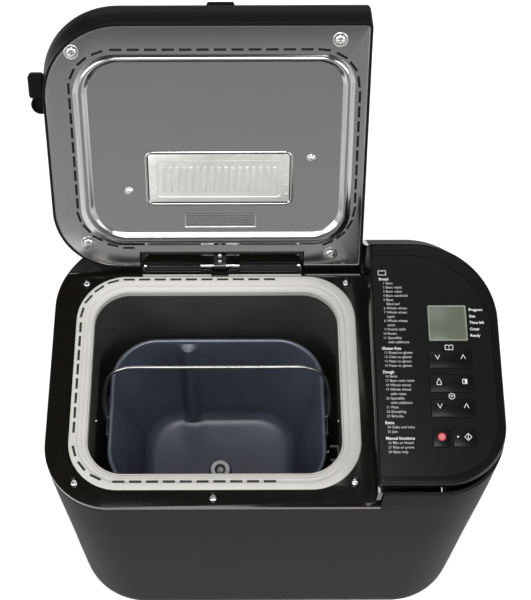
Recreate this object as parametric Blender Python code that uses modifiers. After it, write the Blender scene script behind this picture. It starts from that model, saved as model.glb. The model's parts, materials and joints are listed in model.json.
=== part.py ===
"""Bread machine with its lid open: housing, baking chamber, lift-out pan, drive, lid and control tower.

Metres, +Z up. The front faces -Y and the control tower is at +X. Every piece is modelled with the
lid closed, in the machine's own coordinates, and the lid's empty then turns the lid open.
"""

import math

import bmesh
import bpy
from mathutils import Matrix, Vector

# ---- driving dimensions ----
DECK_Z = 0.294  # height of the deck, on the table's surface
ORIGIN = Vector((0.0090, -0.07283, 0.0))  # puts the origin under the middle of the whole machine

WALL = 0.0026
DECK_THICK = 0.0045
LEDGE_Y = 0.111  # behind this the deck slopes down, to leave room for the open lid
LEDGE_SLOPE = math.radians(30)

TOWER_X = 0.0907  # inner wall of the control tower
TOWER_WALL = 0.0045
PANEL_TILT = math.radians(7)
PANEL_Z = DECK_Z + 0.0525  # height of the panel's plane at y = 0
BEZEL_DEEP = 0.012
PANEL_DROP = BEZEL_DEEP / math.cos(PANEL_TILT)  # upright distance from the panel to the bezel's foot
FAR = 0.20  # beyond the housing's front and rear
ABOVE = 0.42  # above everything with the lid closed

CHAMBER_X = -0.051
MOUTH = (0.1162, 0.0924)  # half sizes of the opening in the ring
RING = (0.1317, 0.1071)  # half sizes of the ring's outside
RING_RADIUS = 0.046
CHAMBER = (0.1190, 0.0950)  # half sizes of the chamber's inside
CHAMBER_RADIUS = 0.037
MOUTH_RADIUS = 0.034
CHAMBER_FLOOR = 0.0405
SHEET = 0.0015

PAN_Y = -0.0035
PAN_RIM_Z = DECK_Z - 0.075
PAN_FLOOR_Z = 0.054
PAN_RIM = (0.1016, 0.0780)
PAN_BASE = (0.0800, 0.0655)
PAN_WALL = 0.0014
RIB_X = -0.081

BAIL_Z = PAN_RIM_Z - 0.008
BAIL_REACH = 0.074
BAIL_LEAN = math.radians(16.4)
BAIL_WIRE = 0.0016

HINGE_Y = 0.1176
HINGE_Z = DECK_Z + 0.0037
LID_OPEN = math.radians(121.1)
PIN_BORE = 0.0019
LINER_Z = DECK_Z + 0.005
LINER_THICK = 0.001
LID_LEFT = -0.2046
LID_FLARE = (0.003, 0.005)  # how far the shell swells past its foot at the left and the front
LID_RIGHT = 0.0893
LID_FRONT = -0.1244
LID_REAR = 0.1204
NOTCH = (-0.1245, 0.0335)  # where the hinge sits in the lid, left and right
NOTCH_Y = 0.1025

FLAP = (-0.1125, 0.0180, 0.0005, 0.0495)  # left, right, front, rear
FLAP_RIBS = 9
VENT_SLOTS = 10
COVER_REAR = 0.060

MOTOR_X = 0.135
MOTOR_Y = 0.010
PULLEY_R = 0.048
MOTOR_PULLEY_R = 0.0075
GAP = 0.0003

DECK_SCREWS = (
    (-0.1754, 0.1006),
    (0.0735, 0.1006),
    (-0.1754, -0.1001),
    (0.0735, -0.1001),
    (-0.0521, -0.1144),
)
SCREW_POCKET_R = 0.0046
HEATER_Z = 0.064
HEATER_ENDS = 0.016  # the element's two ends lie this far to either side of y = 0
INLET = (-0.1500, -0.1120, 0.0350, 0.0650)  # left, right, bottom, top
LID_SCREWS = {
    "lid_screw_1": (-0.1758, -0.0983),
    "lid_screw_2": (0.0608, -0.1089),
    "lid_screw_3": (-0.1732, 0.0926),
    "lid_screw_4": (0.0587, 0.1054),
}

# key plates in the panel's own plane: left, right, front, rear
KEYS = {
    "program_key": (0.1387, 0.1768, -0.0130, 0.0028),
    "loaf_key": (0.1387, 0.1768, -0.0352, -0.0194),
    "timer_key": (0.1387, 0.1768, -0.0577, -0.0419),
    "stop_key": (0.1387, 0.1535, -0.0842, -0.0683),
    "start_key": (0.1562, 0.1768, -0.0842, -0.0683),
}
DISPLAY = (0.1401, 0.1751, 0.0123, 0.0464)
FILM = (0.0922, 0.1963, -0.1103, 0.0950)
BEZEL = (0.0907, 0.2034, -0.1167, 0.1075)


# ---- scene helpers ----
for old in list(bpy.data.objects):
    bpy.data.objects.remove(old, do_unlink=True)
scene = bpy.context.scene
PARTS = bpy.data.collections.new("bread_machine")
CUTTERS = bpy.data.collections.new("cutters")
scene.collection.children.link(PARTS)
scene.collection.children.link(CUTTERS)
CUTTERS.hide_render = True


def material(name, color, roughness, metallic=0.0):
    made = bpy.data.materials.new(name)
    made.use_nodes = True
    shader = made.node_tree.nodes["Principled BSDF"]
    shader.inputs["Base Color"].default_value = (*color, 1.0)
    shader.inputs["Roughness"].default_value = roughness
    shader.inputs["Metallic"].default_value = metallic
    return made


BODY_GREY = material("body_grey", (0.045, 0.045, 0.042), 0.45)
GLOSS_BLACK = material("gloss_black", (0.012, 0.011, 0.010), 0.12)
FILM_BLACK = material("film_black", (0.016, 0.016, 0.016), 0.35)
RING_GREY = material("ring_grey", (0.62, 0.61, 0.57), 0.4)
LINER_STEEL = material("liner_steel", (0.36, 0.35, 0.35), 0.3, 1.0)
STEEL = material("steel", (0.55, 0.55, 0.54), 0.3, 1.0)
DARK_STEEL = material("dark_steel", (0.05, 0.05, 0.048), 0.45, 0.6)
COATING = material("pan_coating", (0.022, 0.024, 0.032), 0.35)
ALUMINIUM = material("aluminium", (0.62, 0.61, 0.58), 0.4, 1.0)
CHROME = material("chrome", (0.75, 0.75, 0.75), 0.12, 1.0)
RUBBER = material("rubber", (0.03, 0.03, 0.03), 0.8)
BOARD_GREEN = material("board_green", (0.03, 0.12, 0.05), 0.5)
LCD_GREY = material("lcd_grey", (0.28, 0.32, 0.25), 0.3)
MOTOR_GREY = material("motor_grey", (0.30, 0.29, 0.28), 0.45, 0.8)


def finish(obj, look, where=PARTS):
    where.objects.link(obj)
    if look is None:
        obj.hide_render = True
        obj.display_type = "WIRE"
    else:
        obj.data.materials.append(look)
    return obj


def mesh_object(name, bm, look, smooth=None, closed=True):
    """The bmesh as an object. A closed one has its faces turned outwards. A look of None makes a cutter."""
    if closed:
        bmesh.ops.recalc_face_normals(bm, faces=bm.faces)
    mesh = bpy.data.meshes.new(name)
    bm.to_mesh(mesh)
    bm.free()
    if smooth:
        mesh.shade_smooth()
        mesh.set_sharp_from_angle(angle=math.radians(smooth))
    return finish(bpy.data.objects.new(name, mesh), look, CUTTERS if look is None else PARTS)


def box(name, low, high, look, bevel=0.0):
    """A box between two corners, with its edges rounded by bevel."""
    low, high = Vector(low), Vector(high)
    bm = bmesh.new()
    place = Matrix.Translation((low + high) / 2) @ Matrix.Diagonal((*(high - low), 1.0))
    bmesh.ops.create_cube(bm, size=1.0, matrix=place)
    obj = mesh_object(name, bm, look)
    if bevel:
        rounded = obj.modifiers.new("edges", "BEVEL")
        rounded.width = bevel
        rounded.segments = 2
    return obj


def cylinder(name, centre, radius, length, look, axis="Z", sides=24, top=None):
    """A cylinder, or a cone with the radius top at its far end, along axis and centred on centre."""
    turn = {
        "X": Matrix.Rotation(math.pi / 2, 4, "Y"),
        "Y": Matrix.Rotation(-math.pi / 2, 4, "X"),
        "Z": Matrix(),
    }
    bm = bmesh.new()
    bmesh.ops.create_cone(
        bm, cap_ends=True, segments=sides, radius1=radius, radius2=radius if top is None else top,
        depth=length, matrix=Matrix.Translation(centre) @ turn[axis],
    )
    return mesh_object(name, bm, look, 40)


def turned(name, centre, profile, look, steps=32):
    """A shape of revolution about a vertical axis: (radius, height) points down its outer side."""
    bm = bmesh.new()
    hollow = profile[0] == profile[-1]
    points = [bm.verts.new((r, 0.0, z)) for r, z in (profile[:-1] if hollow else profile)]
    for a, b in zip(points, points[1:] + points[:1] if hollow else points[1:]):
        bm.edges.new((a, b))
    mesh = bpy.data.meshes.new(name)
    bm.to_mesh(mesh)
    bm.free()
    obj = finish(bpy.data.objects.new(name, mesh), look, CUTTERS if look is None else PARTS)
    obj.location = centre
    screw = obj.modifiers.new("turn", "SCREW")
    screw.steps = steps
    screw.render_steps = steps
    screw.use_merge_vertices = True
    screw.merge_threshold = 0.00001
    return obj


def rounded(x0, x1, y0, y1, radii, steps=6):
    """A rectangle's outline with round corners: rear right, rear left, front left, front right."""
    corners = ((x1, y1, -1, -1, 0), (x0, y1, 1, -1, 90), (x0, y0, 1, 1, 180), (x1, y0, -1, 1, 270))
    points = []
    for (x, y, sx, sy, start), radius in zip(corners, radii):
        for i in range(steps + 1):
            angle = math.radians(start + 90 * i / steps)
            points.append((
                x + sx * radius + radius * math.cos(angle),
                y + sy * radius + radius * math.sin(angle),
            ))
    return points


def centred(half, radius, x=CHAMBER_X, y=0.0, steps=6):
    """A rounded rectangle about (x, y) with half sizes half."""
    return rounded(x - half[0], x + half[0], y - half[1], y + half[1], (radius,) * 4, steps)


def grown(half, by):
    return (half[0] + by, half[1] + by)


def loft(name, rings, look, bottom=True, top=True, smooth=40):
    """Side faces between rings of 3-D points of equal length, with the two ends closed where asked.

    With an end left open the rings must run upwards, and the faces then look outwards.
    """
    bm = bmesh.new()
    rows = [[bm.verts.new(p) for p in ring] for ring in rings]
    for low, high in zip(rows, rows[1:]):
        for i in range(len(low)):
            j = (i + 1) % len(low)
            bm.faces.new((low[i], low[j], high[j], high[i]))
    if bottom:
        bm.faces.new(rows[0][::-1])
    if top:
        bm.faces.new(rows[-1])
    return mesh_object(name, bm, look, smooth, bottom and top)


def slab(name, outline, z0, z1, look):
    return loft(name, [[(x, y, z) for x, y in outline] for z in (z0, z1)], look)


def hoop(name, sections, look):
    """A closed ring: (outline, height) sections in order round the ring's own cross-section."""
    bm = bmesh.new()
    rows = [[bm.verts.new((x, y, z)) for x, y in outline] for outline, z in sections]
    for k, here in enumerate(rows):
        after = rows[(k + 1) % len(rows)]
        for i in range(len(here)):
            j = (i + 1) % len(here)
            bm.faces.new((here[i], here[j], after[j], after[i]))
    return mesh_object(name, bm, look, 40)


def prism_x(name, polygon, x0, x1, look):
    """A polygon of (y, z) points, extruded from x0 to x1."""
    return loft(name, [[(x, y, z) for y, z in polygon] for x in (x0, x1)], look)


def boolean(obj, other, operation="DIFFERENCE"):
    """Cuts, joins or intersects obj with other. A piece that is joined becomes a helper."""
    step = obj.modifiers.new(operation.lower(), "BOOLEAN")
    step.operation = operation
    step.object = other
    other.hide_render = True
    other.display_type = "WIRE"
    if other.name in PARTS.objects:
        PARTS.objects.unlink(other)
        CUTTERS.objects.link(other)
    return obj


def join(obj, other):
    return boolean(obj, other, "UNION")


def solidify(obj, thickness, offset):
    step = obj.modifiers.new("wall", "SOLIDIFY")
    step.thickness = thickness
    step.offset = offset
    step.use_even_offset = True
    return obj


def wire(name, points, radius, look):
    """A round wire with closed ends through the points."""
    curve = bpy.data.curves.new(name, "CURVE")
    curve.dimensions = "3D"
    curve.bevel_depth = radius
    curve.bevel_resolution = 2
    curve.use_fill_caps = True
    line = curve.splines.new("POLY")
    line.points.add(len(points) - 1)
    for point, place in zip(line.points, points):
        point.co = (*place, 1.0)
    return finish(bpy.data.objects.new(name, curve), look)


def arc(centre, radius, start, end, steps):
    """Points of an arc in a plane, with angles in degrees."""
    return [
        (
            centre[0] + radius * math.cos(math.radians(start + (end - start) * i / steps)),
            centre[1] + radius * math.sin(math.radians(start + (end - start) * i / steps)),
        )
        for i in range(steps + 1)
    ]


def circle(radius):
    """A circle's outline about the drive's axis."""
    return arc((CHAMBER_X, PAN_Y), radius, 0, 345, 23)


def empty(name, location, rotation=(0.0, 0.0, 0.0)):
    obj = bpy.data.objects.new(name, None)
    PARTS.objects.link(obj)
    obj.location = location
    obj.rotation_euler = rotation
    return obj


def hang(parent, *objects):
    """Parents objects that are modelled in machine coordinates, and leaves them where they are."""
    bpy.context.view_layer.update()
    for obj in objects:
        obj.parent = parent
        obj.matrix_parent_inverse = parent.matrix_world.inverted()


def panel_height(y):
    return PANEL_Z + y * math.tan(PANEL_TILT)


# ---- housing ----
# height, half width, front, rear, front radius, rear radius
BODY_LEVELS = (
    (0.0040, 0.1998, -0.1300, 0.1670, 0.070, 0.060),
    (0.0080, 0.2008, -0.1312, 0.1685, 0.070, 0.060),
    (0.1400, 0.2024, -0.1278, 0.1700, 0.066, 0.060),
    (0.2300, 0.2036, -0.1252, 0.1700, 0.062, 0.062),
    (0.2560, 0.2039, -0.1242, 0.1672, 0.061, 0.064),
    (0.2760, 0.2040, -0.1236, 0.1590, 0.060, 0.068),
    (0.2940, 0.2040, -0.1230, 0.1470, 0.060, 0.071),
    (0.3150, 0.2038, -0.1212, 0.1310, 0.057, 0.074),
    (0.3340, 0.2036, -0.1196, 0.1190, 0.055, 0.075),
    (0.3480, 0.2034, -0.1185, 0.1110, 0.054, 0.075),
    (0.3800, 0.2030, -0.1160, 0.1000, 0.054, 0.075),
)


def body_rings(inset=0.0):
    rings = []
    for z, half, front, rear, front_r, rear_r in BODY_LEVELS:
        outline = rounded(
            -half + inset, half - inset, front + inset, rear - inset,
            (rear_r, rear_r, front_r, front_r), 8,
        )
        rings.append([(x, y, z) for x, y in outline])
    return rings


def deck_line(drop):
    """The deck's profile along y, lowered by drop: flat, then down the ledge."""
    fall = (FAR - LEDGE_Y) * math.tan(LEDGE_SLOPE)
    return [(-FAR, DECK_Z - drop), (LEDGE_Y, DECK_Z - drop), (FAR, DECK_Z - drop - fall)]


def make_body_shell():
    shell = solidify(loft("body_shell", body_rings(), BODY_GREY, False, False), WALL, -1)
    above_deck = deck_line(DECK_THICK + GAP) + [(FAR, ABOVE), (-FAR, ABOVE)]
    boolean(shell, prism_x("cut_above_deck", above_deck, -0.3, TOWER_X + TOWER_WALL + GAP, None))
    above_panel = [(y, panel_height(y) - PANEL_DROP - GAP) for y in (-FAR, FAR)]
    above_panel += [(FAR, ABOVE), (-FAR, ABOVE)]
    boolean(shell, prism_x("cut_above_panel", above_panel, 0.0, 0.3, None))
    left, right, bottom, top = INLET
    hole = box("cut_inlet", (left - GAP, 0.15, bottom - GAP), (right + GAP, 0.19, top + GAP), None)
    boolean(shell, hole)


def make_top_deck():
    """Deck and the control tower's inner wall, both trimmed to the housing's outside."""
    right = TOWER_X + TOWER_WALL
    upper, lower = deck_line(0.0), deck_line(DECK_THICK)
    deck = prism_x("top_deck", upper + lower[::-1], -0.21, right, GLOSS_BLACK)
    drop = PANEL_DROP + 2 * GAP
    front, rear = -0.1190, 0.170
    wall_side = [
        (front, DECK_Z - 0.003),
        (0.106, DECK_Z - 0.003),
        (rear, DECK_Z - 0.036),
        (rear, panel_height(rear) - drop),
        (front, panel_height(front) - drop),
    ]
    join(deck, prism_x("deck_tower_wall", wall_side, TOWER_X, right, GLOSS_BLACK))
    boolean(deck, loft("trim_deck", body_rings(), None), "INTERSECT")
    mouth = centred(grown(CHAMBER, 0.0035), CHAMBER_RADIUS + 0.002)
    boolean(deck, slab("cut_deck_mouth", mouth, 0.27, 0.31, None))
    for i, (x, y) in enumerate(DECK_SCREWS):
        where = (x, y, DECK_Z + 0.002)
        boolean(deck, cylinder(f"cut_pocket_{i}", where, SCREW_POCKET_R, 0.009, None, sides=20))


def make_deck_screws():
    for i, (x, y) in enumerate(DECK_SCREWS):
        profile = [(0.0, 0.0036), (0.0022, 0.0033), (0.0034, 0.0022), (0.0034, 0.0), (0.0, 0.0)]
        turned(f"deck_screw_{i + 1}", (x, y, DECK_Z - 0.0022), profile, CHROME, 16)


def make_chamber_ring():
    """Pale ring on the deck: a raised band, a ledge inside it and a short skirt into the chamber."""
    def at(by):
        return centred(grown(MOUTH, by), MOUTH_RADIUS + by, steps=8)

    top = DECK_Z + GAP
    hoop("chamber_ring", (
        (centred(RING, RING_RADIUS, steps=8), top),
        (centred(RING, RING_RADIUS, steps=8), top + 0.0010),
        (at(0.0080), top + 0.0010),
        (at(0.0070), top + 0.0006),
        (at(0.0048), top - 0.0004),
        (at(0.0008), top - 0.0006),
        (at(0.0), top - 0.0014),
        (at(0.0), top - 0.0090),
        (at(0.0012), top - 0.0090),
        (at(0.0012), top - 0.0018),
        (at(0.0048), top - 0.0018),
        (at(0.0058), top),
    ), RING_GREY)


def make_chamber():
    """Deep drawn can that hangs in the deck's opening, with holes for the drive and the heater."""
    top = DECK_Z - 0.0024
    rings = []
    for by, radius, z in (
        (-0.012, 0.029, CHAMBER_FLOOR),
        (-0.004, 0.035, CHAMBER_FLOOR + 0.002),
        (0.0, CHAMBER_RADIUS, CHAMBER_FLOOR + 0.012),
        (0.0, CHAMBER_RADIUS, top),
    ):
        rings.append([(x, y, z) for x, y in centred(grown(CHAMBER, by), radius)])
    can = solidify(loft("chamber", rings, DARK_STEEL, True, False), SHEET, 1)
    boolean(can, cylinder("cut_drive_hole", (CHAMBER_X, PAN_Y, 0.04), 0.021, 0.02, None))
    for side in (-1, 1):
        where = (CHAMBER_X + CHAMBER[0], side * HEATER_ENDS, HEATER_Z)
        boolean(can, cylinder(f"cut_heater_{side}", where, 0.0045, 0.02, None, "X", 16))


def make_heater():
    """One loop of sheathed element round the foot of the pan, its ends out through the right wall."""
    half_x, half_y, radius = 0.100, 0.078, 0.050
    left, right = CHAMBER_X - half_x, CHAMBER_X + half_x
    outside = CHAMBER_X + 0.130
    bend = 0.006
    path = [
        (outside, HEATER_ENDS),
        (right + bend, HEATER_ENDS),
        (right, HEATER_ENDS + bend),
    ]
    path += arc((right - radius, half_y - radius), radius, 0, 90, 6)
    path += arc((left + radius, half_y - radius), radius, 90, 180, 6)
    path += arc((left + radius, radius - half_y), radius, 180, 270, 6)
    path += arc((right - radius, radius - half_y), radius, 270, 360, 6)
    path += [
        (right, -HEATER_ENDS - bend),
        (right + bend, -HEATER_ENDS),
        (outside, -HEATER_ENDS),
    ]
    wire("heater", [(x, y, HEATER_Z) for x, y in path], 0.0032, STEEL)


def make_rails():
    """Upright rails on the chamber's side walls, near its front, that guide the pan."""
    right = CHAMBER_X + CHAMBER[0] - GAP
    left = CHAMBER_X - CHAMBER[0] + GAP
    rail = box("sensor_rail", (right - 0.0085, -0.045, 0.056), (right, -0.029, 0.200), STEEL)
    hollow = box("cut_sensor_rail", (right - 0.0095, -0.043, 0.05), (right - 0.0015, -0.031, 0.21), None)
    boolean(rail, hollow)
    box("guide_rail", (left, -0.046, 0.056), (left + 0.0045, -0.038, 0.150), STEEL, 0.0008)


def make_base():
    outline = rounded(-0.1955, 0.1955, -0.1260, 0.1630, (0.056, 0.056, 0.066, 0.066), 6)
    tray = slab("base_tray", outline, 0.006, 0.009, BODY_GREY)
    for i, (x, y) in enumerate(((-0.14, -0.08), (0.165, -0.08), (-0.14, 0.09), (0.165, 0.09))):
        join(tray, cylinder(f"post_{i}", (x, y, 0.0190), 0.006, 0.0214, BODY_GREY, sides=12))
    for i in range(6):
        x = -0.12 + 0.048 * i
        boolean(tray, box(f"cut_vent_{i}", (x - 0.003, 0.105, 0.0), (x + 0.003, 0.145, 0.02), None))
    for name, x, y in (
        ("foot_front_left", -0.15, -0.085), ("foot_front_right", 0.15, -0.085),
        ("foot_rear_left", -0.15, 0.125), ("foot_rear_right", 0.15, 0.125),
    ):
        cylinder(name, (x, y, 0.00285), 0.0095, 0.0057, RUBBER, sides=20, top=0.0105)


def make_drive_frame():
    chassis = box("chassis", (-0.165, -0.095, 0.030), (0.185, 0.105, 0.0315), STEEL)
    boolean(chassis, cylinder("cut_bearing", (CHAMBER_X, PAN_Y, 0.03), 0.0127, 0.02, None))
    boolean(chassis, cylinder("cut_motor_shaft", (MOTOR_X, MOTOR_Y, 0.03), 0.010, 0.02, None))
    for i, (x, y) in enumerate(((-0.13, -0.06), (0.03, -0.06), (-0.13, 0.06), (0.03, 0.06))):
        join(chassis, cylinder(f"pad_{i}", (x, y, 0.0347), 0.007, 0.0075, STEEL, sides=12))
    turned("shaft_bearing", (CHAMBER_X, PAN_Y, 0.0), [
        (0.0043, 0.0385), (0.0110, 0.0385), (0.0165, 0.0345), (0.0165, 0.0318), (0.0120, 0.0318),
        (0.0120, 0.0265), (0.0043, 0.0265), (0.0043, 0.0385),
    ], ALUMINIUM, 24)
    turned("motor", (MOTOR_X, MOTOR_Y, 0.0), [
        (0.0, 0.1000), (0.0120, 0.1000), (0.0125, 0.0940), (0.0330, 0.0920), (0.0355, 0.0880),
        (0.0355, 0.0400), (0.0330, 0.0345), (0.0, 0.0345),
    ], MOTOR_GREY, 28)
    outer, inner = circle(0.0405), circle(0.0380)
    seat_z = CHAMBER_FLOOR + GAP
    hoop("pan_seat", ((outer, seat_z), (outer, 0.0485), (inner, 0.0495), (inner, seat_z)), STEEL)


def belt_outline(by):
    """The line round both pulleys, by outside their rims."""
    big, small = PULLEY_R + by, MOTOR_PULLEY_R + by
    dx, dy = MOTOR_X - CHAMBER_X, MOTOR_Y - PAN_Y
    along = math.degrees(math.atan2(dy, dx))
    lean = math.degrees(math.acos((big - small) / math.hypot(dx, dy)))
    points = arc((MOTOR_X, MOTOR_Y), small, along - lean, along + lean, 8)
    points += arc((CHAMBER_X, PAN_Y), big, along + lean, along + 360 - lean, 24)
    return points


def make_belt():
    inner, outer = belt_outline(GAP), belt_outline(GAP + 0.0016)
    low, high = 0.0145, 0.0215
    hoop("drive_belt", ((outer, low), (outer, high), (inner, high), (inner, low)), RUBBER)


def make_inlet():
    """Socket for the mains lead, in the housing's rear wall."""
    left, right, bottom, top = INLET
    rim = 0.005
    inlet = box("power_inlet", (left, 0.150, bottom), (right, 0.1712, top), GLOSS_BLACK)
    socket = box("cut_socket", (left + rim, 0.158, bottom + rim), (right - rim, 0.18, top - rim), None)
    boolean(inlet, socket)
    join(inlet, box("inlet_pins", (-0.1340, 0.155, 0.0480), (-0.1280, 0.1680, 0.0520), STEEL))


def make_hinge_plate():
    """Steel wedge on the deck's ledge with two knuckles for the lid's pin."""
    left, right = NOTCH[0] + 0.0025, NOTCH[1] - 0.0025
    slope = math.tan(LEDGE_SLOPE)
    rear = 0.1222
    foot, top = DECK_Z + GAP, DECK_Z + 0.0014
    plate = prism_x("hinge_plate", [
        (0.1078, foot),
        (LEDGE_Y, foot),
        (rear, foot - (rear - LEDGE_Y) * slope),
        (rear, top),
        (0.1078, top),
    ], left, right, STEEL)
    for i, (x0, x1) in enumerate(((-0.118, -0.066), (-0.029, 0.027))):
        where = ((x0 + x1) / 2, HINGE_Y, HINGE_Z)
        join(plate, cylinder(f"knuckle_{i}", where, 0.0033, x1 - x0, STEEL, "X", 16))
    boolean(plate, box("cut_arm_room", (-0.0555, 0.1125, 0.28), (-0.0395, 0.13, 0.31), None))
    middle = ((left + right) / 2, HINGE_Y, HINGE_Z)
    boolean(plate, cylinder("cut_pin_bore", middle, PIN_BORE, 0.2, None, "X", 16))


# ---- control tower's top ----
def make_panel():
    """Bezel, film, display and keys, in the plane of the panel: z = 0 is the film's upper face."""
    frame = empty("panel_frame", (0.0, 0.0, PANEL_Z), (PANEL_TILT, 0.0, 0.0))
    radii = (0.0745, 0.0020, 0.0020, 0.0535)

    def outline(edges, by, steps=8):
        left, right, front, rear = edges
        trimmed = [max(r + by, 0.0012) for r in radii]
        return rounded(left - by, right + by, front - by, rear + by, trimmed, steps)

    def layer(edges, by, z):
        return [(x, y, z) for x, y in outline(edges, by)]

    bezel = loft("panel_bezel", [
        layer(BEZEL, 0.0, -BEZEL_DEEP),
        layer(BEZEL, 0.0, -0.0045),
        layer(BEZEL, -0.0014, -0.0012),
        layer(BEZEL, -0.0040, 0.0),
    ], GLOSS_BLACK)
    hollow = slab("cut_bezel_hollow", outline(BEZEL, -0.0040), -0.02, -0.0042, None)
    seat = slab("cut_film_seat", outline(FILM, GAP), -0.0012, 0.01, None)
    boolean(bezel, hollow)
    boolean(bezel, seat)
    film = slab("panel_film", outline(FILM, 0.0), -0.0009, 0.0, FILM_BLACK)
    holes = []
    for name, (left, right, front, rear) in dict(KEYS, display=DISPLAY).items():
        low, high = (left - GAP, front - GAP, -0.02), (right + GAP, rear + GAP, 0.01)
        hole = box(f"cut_{name}", low, high, None)
        boolean(bezel, hole)
        boolean(film, hole)
        holes.append(hole)
    left, right, front, rear = DISPLAY
    display = box("display", (left, front, -0.0050), (right, rear, -0.0004), LCD_GREY)
    board = box("control_board", (0.108, -0.092, -0.0118), (0.190, 0.060, -0.0100), BOARD_GREEN)
    for obj in [bezel, film, display, board, hollow, seat] + holes:
        obj.parent = frame
    for name, (left, right, front, rear) in KEYS.items():
        x, y = (left + right) / 2, (front + rear) / 2
        key = rounded(left - x, right - x, front - y, rear - y, (0.0012,) * 4, 2)
        axis = empty(f"{name}_axis", (x, y, -0.0020))
        axis.parent = frame
        slab(name, key, -0.0025, 0.0024, FILM_BLACK).parent = axis


# ---- pan and drive ----
def pan_outline(half, radius, rib):
    """Rounded rectangle with a shallow bay pressed into its rear side at the rib."""
    right, rear = CHAMBER_X + half[0] - radius, PAN_Y + half[1] - radius
    left, front = CHAMBER_X - half[0] + radius, PAN_Y - half[1] + radius
    points = arc((right, rear), radius, 0, 90, 6)
    for i in range(7):
        x = RIB_X + 0.010 * math.cos(math.pi * i / 6)
        y = rear + math.sqrt(radius ** 2 - min(0.0, x - left) ** 2)
        points.append((x, y - rib * math.sin(math.pi * i / 6)))
    start = math.degrees(math.acos(min(0.0, x - left) / radius))
    points += arc((left, rear), radius, start, 180, 6)[1:]
    points += arc((left, front), radius, 180, 270, 6)
    return points + arc((right, front), radius, 270, 360, 6)


def make_pan():
    axis = empty("pan_axis", (CHAMBER_X, PAN_Y, PAN_FLOOR_Z))
    rise = PAN_RIM_Z - PAN_FLOOR_Z
    rings = []
    for along, by, z, radius in (
        (0.0, -0.014, 0.0, 0.030),
        (0.0, -0.005, 0.0025, 0.038),
        (0.04, -0.001, 0.010, 0.041),
        (0.30, 0.0, 0.30 * rise, 0.043),
        (0.65, 0.0, 0.65 * rise, 0.043),
        (0.95, 0.0, 0.95 * rise, 0.043),
        (1.0, 0.0, rise - 0.0006, 0.043),
        (1.0, 0.0012, rise, 0.0442),
        (1.0, 0.0034, rise - 0.0002, 0.0464),
        (1.0, 0.0036, rise - 0.0022, 0.0466),
    ):
        half = [b + (r - b) * along + by for r, b in zip(PAN_RIM, PAN_BASE)]
        depth = 0.0 if along > 0.94 or z < 0.001 else 0.0055
        rings.append([(x, y, PAN_FLOOR_Z + z) for x, y in pan_outline(half, radius, depth)])
    pan = solidify(loft("pan", rings, COATING, True, False), PAN_WALL, 1)
    outer, inner = circle(0.0365), circle(0.0345)
    low, high = 0.0430, 0.0532
    foot = hoop("pan_foot", ((outer, low), (outer, high), (inner, high), (inner, low)), COATING)
    join(pan, foot)
    boolean(pan, cylinder("cut_pan_bush", (CHAMBER_X, PAN_Y, 0.053), 0.0073, 0.02, None))
    bush = turned("pan_bush", (CHAMBER_X, PAN_Y, 0.0), [
        (0.0090, 0.0555), (0.0090, 0.0545), (0.0070, 0.0543), (0.0070, 0.0500),
        (0.0043, 0.0500), (0.0043, 0.0555), (0.0090, 0.0555),
    ], STEEL, 24)
    hang(axis, pan, bush)
    for side, name in ((-1, "pan_bracket_left"), (1, "pan_bracket_right")):
        hang(axis, make_bracket(side, name))
    return axis


def make_bracket(side, name):
    """Strap on two feet on the pan's end wall, with the bail's pivot hole."""
    inner, outer = CHAMBER_X + side * 0.1062, CHAMBER_X + side * 0.1074
    low, high = min(inner, outer), max(inner, outer)
    bottom, top = BAIL_Z - 0.010, BAIL_Z + 0.0048
    plate = box(name, (low, PAN_Y - 0.020, bottom), (high, PAN_Y + 0.020, top), COATING)
    wall, lap = CHAMBER_X + side * 0.1034, inner + side * 0.0006
    low, high = min(wall, lap), max(wall, lap)
    for i, y in enumerate((PAN_Y - 0.020, PAN_Y + 0.014)):
        foot = box(f"{name}_foot_{i}", (low, y, bottom + 0.0005), (high, y + 0.006, top - 0.0018), COATING)
        join(plate, foot)
    boolean(plate, cylinder(f"cut_{name}", (inner, PAN_Y, BAIL_Z), 0.0020, 0.02, None, "X", 16))
    return plate


def make_bail(pan_axis):
    """Wire handle, drawn upright about its pivots and then leaned back."""
    half = [
        (0.1046, 0.0), (0.1092, 0.0), (0.1094, 0.010), (0.1088, 0.025),
        (0.1070, 0.040), (0.1050, 0.050), (0.1018, 0.060), (0.0960, 0.0675),
        (0.0880, 0.0720), (0.0780, BAIL_REACH), (0.0400, BAIL_REACH),
    ]
    path = [(-x, 0.0, z) for x, z in half] + [(x, 0.0, z) for x, z in half[::-1]]
    bail = wire("bail", path, BAIL_WIRE, CHROME)
    axis = empty("bail_axis", (CHAMBER_X, PAN_Y, BAIL_Z), (-BAIL_LEAN, 0.0, 0.0))
    bail.parent = axis
    hang(pan_axis, axis)


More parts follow.
